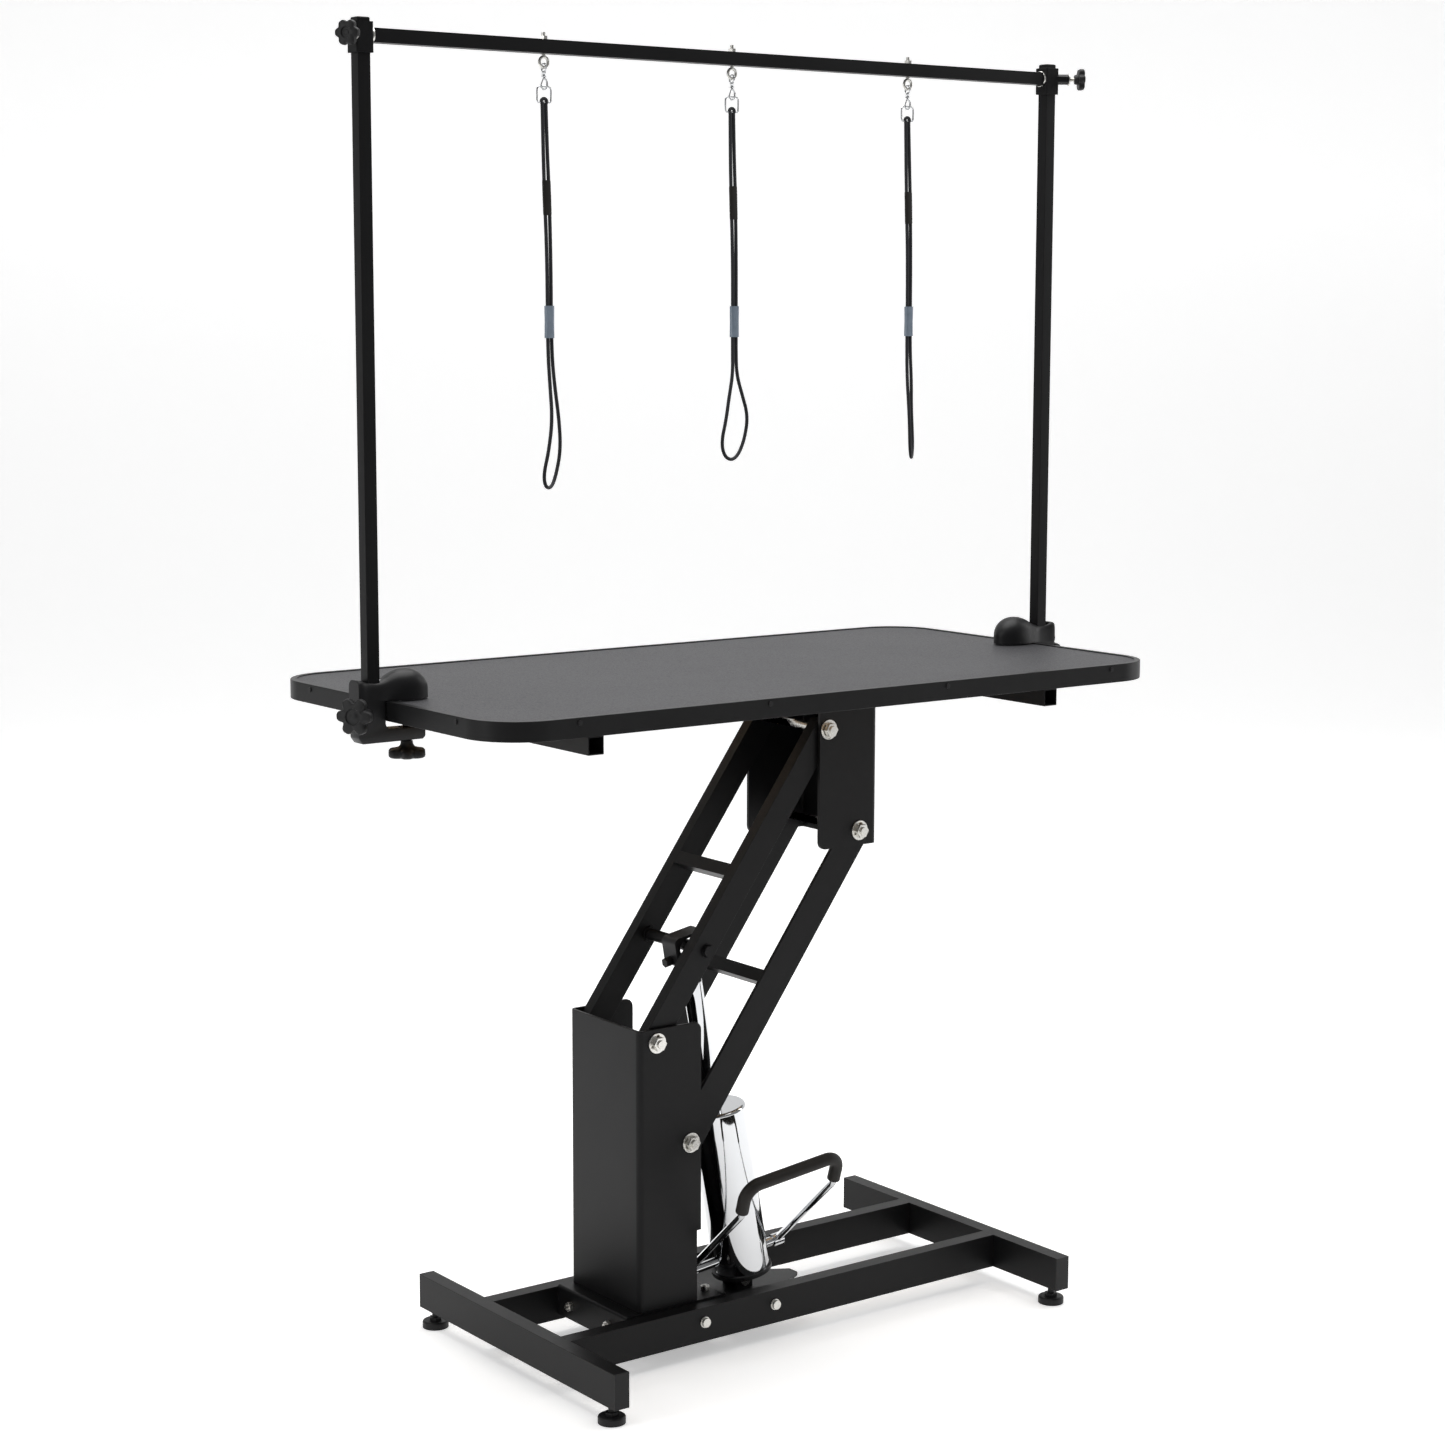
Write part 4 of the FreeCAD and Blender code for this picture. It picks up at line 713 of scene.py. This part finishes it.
# ---- Clamps ----
# How far in from the clamp's outer face, half width, height over the tabletop, and squareness of the crown.
CLAMP_ARM = [
    (0.0, 13.6, 27.6, 0.34), (1.6, 15.0, 29.4, 0.36), (7.0, 15.0, 29.4, 0.40), (14.0, 13.6, 27.2, 0.44),
    (24.0, 13.0, 25.6, 0.48), (34.0, 13.6, 26.0, 0.56), (44.0, 16.0, 29.0, 0.68), (54.0, 19.6, 34.4, 0.80),
    (64.0, 23.0, 39.2, 0.90), (76.0, 24.8, 41.6, 0.95), (86.0, 24.6, 41.0, 0.95), (95.0, 22.6, 37.6, 0.92),
    (102.0, 19.2, 32.6, 0.88), (107.5, 14.6, 26.6, 0.82), (111.0, 9.8, 21.4, 0.78), (113.2, 5.0, 17.0, 0.74),
    (113.9, 1.2, 14.6, 0.72)]


def between(table, place):
    """A smooth value at a place along a table, whose first column is the place."""
    k = max(i for i in range(len(table) - 1) if table[i][0] <= place)
    a, b = table[k], table[k + 1]
    before, after = table[max(k - 1, 0)], table[min(k + 2, len(table) - 1)]
    t = (place - a[0]) / (b[0] - a[0])
    values = []
    for c in range(1, len(a)):
        slope_a = (b[c] - before[c]) / (b[0] - before[0]) * (b[0] - a[0])
        slope_b = (after[c] - a[c]) / (after[0] - a[0]) * (b[0] - a[0])
        values.append((2 * t ** 3 - 3 * t ** 2 + 1) * a[c] + (t ** 3 - 2 * t ** 2 + t) * slope_a
                      + (3 * t ** 2 - 2 * t ** 3) * b[c] + (t ** 3 - t ** 2) * slope_b)
    return values


def clamp_arm_mesh(side, corner, inward, over):
    """The waisted arm with its domed pad: sections along it with upright lower sides and a rounded crown."""
    rings = []
    places = [0.0, 0.5, 1.2] + [2.5 * k for k in range(1, 41)]
    places += [102.5, 105.0, 107.5, 109.5, 111.0, 112.2, 113.2, 113.8]
    for place in places:
        half, top, square = between(CLAMP_ARM, place)
        lower = 0.42 * top
        ring = [Vector((0, -half, -0.4)), Vector((0, -half, lower * 0.5))]
        for k in range(25):
            angle = math.pi * k / 24
            along = -math.cos(angle)
            rise = max(math.sin(angle), 0.0)
            y = half * math.copysign(abs(along) ** square, along)
            ring.append(Vector((0, y, lower + (top - lower) * rise ** (0.35 + 0.5 * square))))
        ring += [Vector((0, half, lower * 0.5)), Vector((0, half, -0.4))]
        rings.append([Vector((corner.x + inward * place * MM, corner.y + p.y * MM, over + (p.z + 0.4) * MM))
                      for p in ring])
    return skin("clamp_arm_" + side, rings)


def shaped_block(name, outline, depth, round_width, corner, inward):
    """A block with a drawn outline in XZ, given its depth in Y and rounded on every edge."""
    bm = bmesh.new()
    front = [bm.verts.new((corner.x + inward * x * MM, corner.y - depth / 2 * MM, z * MM)) for x, z in outline]
    face = bm.faces.new(front)
    out = bmesh.ops.extrude_face_region(bm, geom=[face])
    back = [v for v in out["geom"] if isinstance(v, bmesh.types.BMVert)]
    bmesh.ops.translate(bm, vec=(0, depth * MM, 0), verts=back)
    bmesh.ops.recalc_face_normals(bm, faces=bm.faces)
    bmesh.ops.bevel(bm, geom=list(bm.edges), offset=round_width * MM, segments=3, profile=0.5, affect="EDGES",
                    clamp_overlap=True)
    mesh = bpy.data.meshes.new(name)
    bm.to_mesh(mesh)
    bm.free()
    return settle(mesh)


def combined(name, first, others):
    """One closed mesh from a first mesh and others added to it or cut from it."""
    maker = bpy.data.objects.new("maker", first)
    bpy.context.collection.objects.link(maker)
    helpers = []
    for operation, mesh in others:
        helper = bpy.data.objects.new("helper", mesh)
        bpy.context.collection.objects.link(helper)
        helpers.append(helper)
        step = maker.modifiers.new("step", "BOOLEAN")
        step.operation = operation
        step.solver = "EXACT"
        step.object = helper
    bpy.context.view_layer.update()
    done = bpy.data.meshes.new_from_object(maker.evaluated_get(bpy.context.evaluated_depsgraph_get()))
    for thing in helpers + [maker]:
        bpy.data.objects.remove(thing)
    done.name = name
    return settle(done, 34.0)


def plain_box(name, low, high):
    bm = bmesh.new()
    bmesh.ops.create_cube(bm, size=1.0)
    for v in bm.verts:
        v.co = Vector([low[i] + (high[i] - low[i]) * (v.co[i] + 0.5) for i in range(3)])
    mesh = bpy.data.meshes.new(name)
    bm.to_mesh(mesh)
    bm.free()
    return mesh


def clamp(side, outward):
    low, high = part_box("clamp_body_" + side)
    outer = high.x if outward > 0 else low.x
    middle_y = (low.y + high.y) / 2
    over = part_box("tabletop_mat")[1].z + 2.1 * MM
    inward = -outward
    corner = Vector((outer, middle_y, 0))
    arm = clamp_arm_mesh(side, corner, inward, over)
    bottom = low.z / MM
    top = over / MM + 12.0
    board_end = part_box("tabletop_board")[0 if outward < 0 else 1].x
    reach = abs(outer - board_end) / MM - 3.6
    outline = [(0.3, bottom + 8), (0.3, top), (reach, top), (reach, bottom + 25), (reach + 2.2, bottom + 20.2),
               (reach + 7, bottom + 18), (100, bottom + 17.4), (105, bottom + 15), (105, bottom + 4),
               (101, bottom), (6, bottom)]
    block = shaped_block("clamp_jaw_" + side, outline, 26.0, 1.6, corner, inward)
    hole = 9.8 * MM
    post = outer + inward * 18.0 * MM
    socket = plain_box("socket", (post - hole, middle_y - hole, low.z - 0.01),
                       (post + hole, middle_y + hole, 1.2))
    screw_x = outer + inward * 74.0 * MM
    bore_place = Vector((screw_x, middle_y, low.z - 4 * MM))
    bore = turned_mesh("bore", [(6.1, 0, 0), (6.1, 26, 0)], (0, 0, 1), bore_place, 32)
    knob_low, knob_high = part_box("post_knob_" + side)
    lock_place = Vector((POST_X[side], middle_y, (knob_low.z + knob_high.z) / 2))
    lock_way = knob_direction(side, -outward)
    boss = turned_mesh("boss", [(9.0, 11.5, 0), (9.0, 24.2, 0), (8.2, 25.0, 0)], lock_way, lock_place, 40)
    lock = turned_mesh("lock", [(4.1, 0, 0), (4.1, 30, 0)], lock_way, lock_place, 32)
    body = combined("post_clamp_" + side, arm, [
        ("UNION", block), ("UNION", boss), ("DIFFERENCE", socket), ("DIFFERENCE", bore), ("DIFFERENCE", lock)])
    add_piece("post_clamp_" + side, body, "black_casting", "table", ("clamp_body_" + side,))
    place = 40.0 if side == "left" else 70.0
    crown = between(CLAMP_ARM, place)[1]
    spot = Vector((outer + inward * place * MM, middle_y, over + (crown - 0.5) * MM))
    screw_profile = [(2.6, -2.0, 0), (2.6, 0.7, 0), (2.2, 1.1, 0), (1.4, 1.2, 0), (1.2, 0.2, 0), (0.2, 0.1, 0)]
    screw = turned_mesh("clamp_set_screw_" + side, screw_profile, (0, 0, 1), spot, 24)
    add_piece("clamp_set_screw_" + side, screw, "steel_tube", "table")


for clamp_side, clamp_outward in (("left", -1), ("right", 1)):
    clamp(clamp_side, clamp_outward)


# ---- Snap hooks and D-rings ----
def wire_ring(name, centre, radius, wire, normal, count=40, sides=12):
    rings = []
    turn = Vector(normal).to_track_quat("Z", "Y").to_matrix()
    for k in range(count):
        angle = 2 * math.pi * k / count
        out = turn @ Vector((math.cos(angle), math.sin(angle), 0))
        up = turn @ Vector((0, 0, 1))
        rings.append([centre + out * (radius + wire * math.cos(2 * math.pi * j / sides)) * MM
                      + up * (wire * math.sin(2 * math.pi * j / sides)) * MM for j in range(sides)])
    return skin(name, rings, loop=True)


def wire_path(name, centre, points, wire, sides=12):
    """A round wire along a smooth line through the control points, given in millimetres from the centre."""
    path = smooth_line(name + "_line", [centre + Vector(p) * MM for p in points])
    mesh, _ = tube_along(name, path, wire * MM, sides)
    mesh.uv_layers.remove(mesh.uv_layers["lay"])
    return mesh


def snap_hook(side):
    """A swivel eye in the eye bolt, a turned barrel, a curved hook with its spring gate, and a D-ring."""
    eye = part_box("snap_hook_" + side)
    centre = Vector(((eye[0].x + eye[1].x) / 2, (eye[0].y + eye[1].y) / 2, eye[1].z))
    swivel = wire_ring("swivel", centre - Vector((0, 0, 7.0 * MM)), 5.6, 1.35, (1, 0, 0))
    barrel_profile = [(1.2, -12.5, 0), (1.6, -13.0, 0), (3.2, -13.4, 0), (3.4, -14.0, 0), (2.6, -15.0, 0),
                      (2.4, -17.0, 0), (3.6, -18.0, 0), (3.8, -19.2, 0), (3.0, -20.4, 0), (1.8, -21.4, 0)]
    barrel = turned_mesh("barrel", barrel_profile, (0, 0, 1), centre, 24)
    hook_points = [(0, 0, -19.5), (0.2, 0, -22.0), (3.6, 0, -23.5), (5.6, 0, -28.0), (4.8, 0, -34.0),
                   (0.0, 0, -37.4), (-4.8, 0, -34.0), (-4.6, 0, -30.5)]
    hook = wire_path("hook", centre, hook_points, 1.5)
    gate_points = [(-4.6, 0, -31.0), (-3.6, 0, -27.5), (-1.6, 0, -23.5), (-0.6, 0, -21.0)]
    gate = wire_path("gate", centre, gate_points, 0.95)
    ring_low = (eye[0].z - centre.z) / MM + 1.5
    half = 11.4
    d_points = [(0, 0.0, -32.6), (8.2, 0.0, -32.4), (half, 0.0, -35.6), (half + 0.2, 0.0, -41.0),
                (half, 0.0, ring_low), (half - 4, 0.0, ring_low), (0.0, 0.0, ring_low),
                (-half + 4, 0.0, ring_low), (-half, 0.0, ring_low), (-half - 0.2, 0.0, -41.0),
                (-half, 0.0, -35.6), (-8.2, 0.0, -32.4), (0, 0.0, -32.6)]
    ring = wire_path("ring", centre, d_points, 1.3)
    whole = joined("snap_and_ring_" + side, [swivel, barrel, hook, gate, ring])
    add_piece("snap_and_ring_" + side, whole, "chrome", "loop_" + side, ("snap_hook_" + side,))


for hook_side in EYE_BOLT_X:
    snap_hook(hook_side)


# ---- Bright washers between the crossbar's sleeves and their neighbours ----
def sleeve_washers(side, outward):
    low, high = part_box("sleeve_" + side)
    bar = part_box("crossbar")
    inner = low.x if outward > 0 else high.x
    middle = Vector((inner, (bar[0].y + bar[1].y) / 2, (bar[0].z + bar[1].z) / 2))
    profile = [(9.0, 0.2, 0), (11.6, 0.2, 0), (12.0, 0.6, 0), (12.0, 3.0, 0), (11.6, 3.4, 0), (9.0, 3.4, 0)]
    washer = turned_mesh("bar_washer_" + side, profile, (-outward, 0, 0), middle, 40)
    add_piece("bar_washer_" + side, washer, "zinc", "arm_crossbar")


for washer_side, washer_outward in (("left", -1), ("right", 1)):
    sleeve_washers(washer_side, washer_outward)


# ---- Frame with rounded edges ----
for softened_nodes, round_width in (
        (("foot_left", "foot_right", "rail_front", "rail_rear"), 1.8),
        (("column", "top_bracket"), 1.0),
        (("column_pivot_bolts", "bracket_pivot_bolts", "frame_bolts"), 0.7),
        (("sleeve_left", "sleeve_right"), 0.8),
        (("upper_arm_front", "upper_arm_rear", "lower_arm_front", "lower_arm_rear"), 2.2),
        (("post_left", "post_right", "crossbar"), 1.2),
        (("cross_tube_left", "cross_tube_right", "spine_tube"), 1.2),
        (("edge_trim",), 0.6)):
    for softened_node in softened_nodes:
        softened(softened_node, round_width * MM)


# ---- Room ----
def add_room():
    """A plain pale floor that curves up behind, one broad light above and two soft ones at the sides."""
    paper = Finish("pale_paper", {"Roughness": 0.9, "Specular IOR Level": 0.1})
    paper.feed("Base Color", paper.tint(paper.noise(0.6, 2.0), (0.90, 0.90, 0.90), (0.93, 0.93, 0.93)))
    paper.shader.inputs["Emission Strength"].default_value = 0.42
    paper.shader.inputs["Emission Color"].default_value = (1.0, 1.0, 1.0, 1.0)
    half, back, curve, top = 14.0, 6.0, 2.0, 7.0
    profile = [(-3.4, 0.0)]
    for k in range(17):
        angle = math.pi / 2 * k / 16
        profile.append((back + curve * math.sin(angle), curve - curve * math.cos(angle)))
    profile.append((back + curve, top))
    points = [(side * half, y, z) for y, z in profile for side in (-1, 1)]
    faces = [(2 * k, 2 * k + 1, 2 * k + 3, 2 * k + 2) for k in range(len(profile) - 1)]
    mesh = bpy.data.meshes.new("pale_floor")
    mesh.from_pydata(points, [], faces)
    for face in mesh.polygons:
        face.use_smooth = True
    mesh.materials.append(paper.material)
    floor = bpy.data.objects.new("pale_floor", mesh)
    bpy.context.collection.objects.link(floor)
    floor.rotation_euler.z = -0.639
    floor.location.z = -0.0005
    lights = (("overhead", (0.2, 0.3, 4.4), (0.0, 0.0, 0.6), 4.0, 4.0, 210.0),
              ("left_strip", (-4.6, 0.2, 2.2), (0.0, 0.0, 0.8), 0.9, 3.4, 50.0),
              ("right_strip", (3.9, -1.3, 2.2), (0.0, 0.0, 0.8), 0.7, 3.4, 40.0))
    for name, place, target, width, height, power in lights:
        data = bpy.data.lights.new(name, "AREA")
        data.shape = "RECTANGLE"
        data.size = width
        data.size_y = height
        data.energy = power
        lamp = bpy.data.objects.new(name, data)
        bpy.context.collection.objects.link(lamp)
        lamp.location = place
        lamp.rotation_euler = (Vector(target) - Vector(place)).to_track_quat("-Z", "Y").to_euler()
    world = bpy.data.worlds.new("studio")
    bpy.context.scene.world = world
    world.use_nodes = True
    world.node_tree.nodes["Background"].inputs["Color"].default_value = (1.0, 1.0, 1.0, 1.0)
    world.node_tree.nodes["Background"].inputs["Strength"].default_value = 0.26
    bpy.context.scene.view_settings.view_transform = "Standard"


add_room()
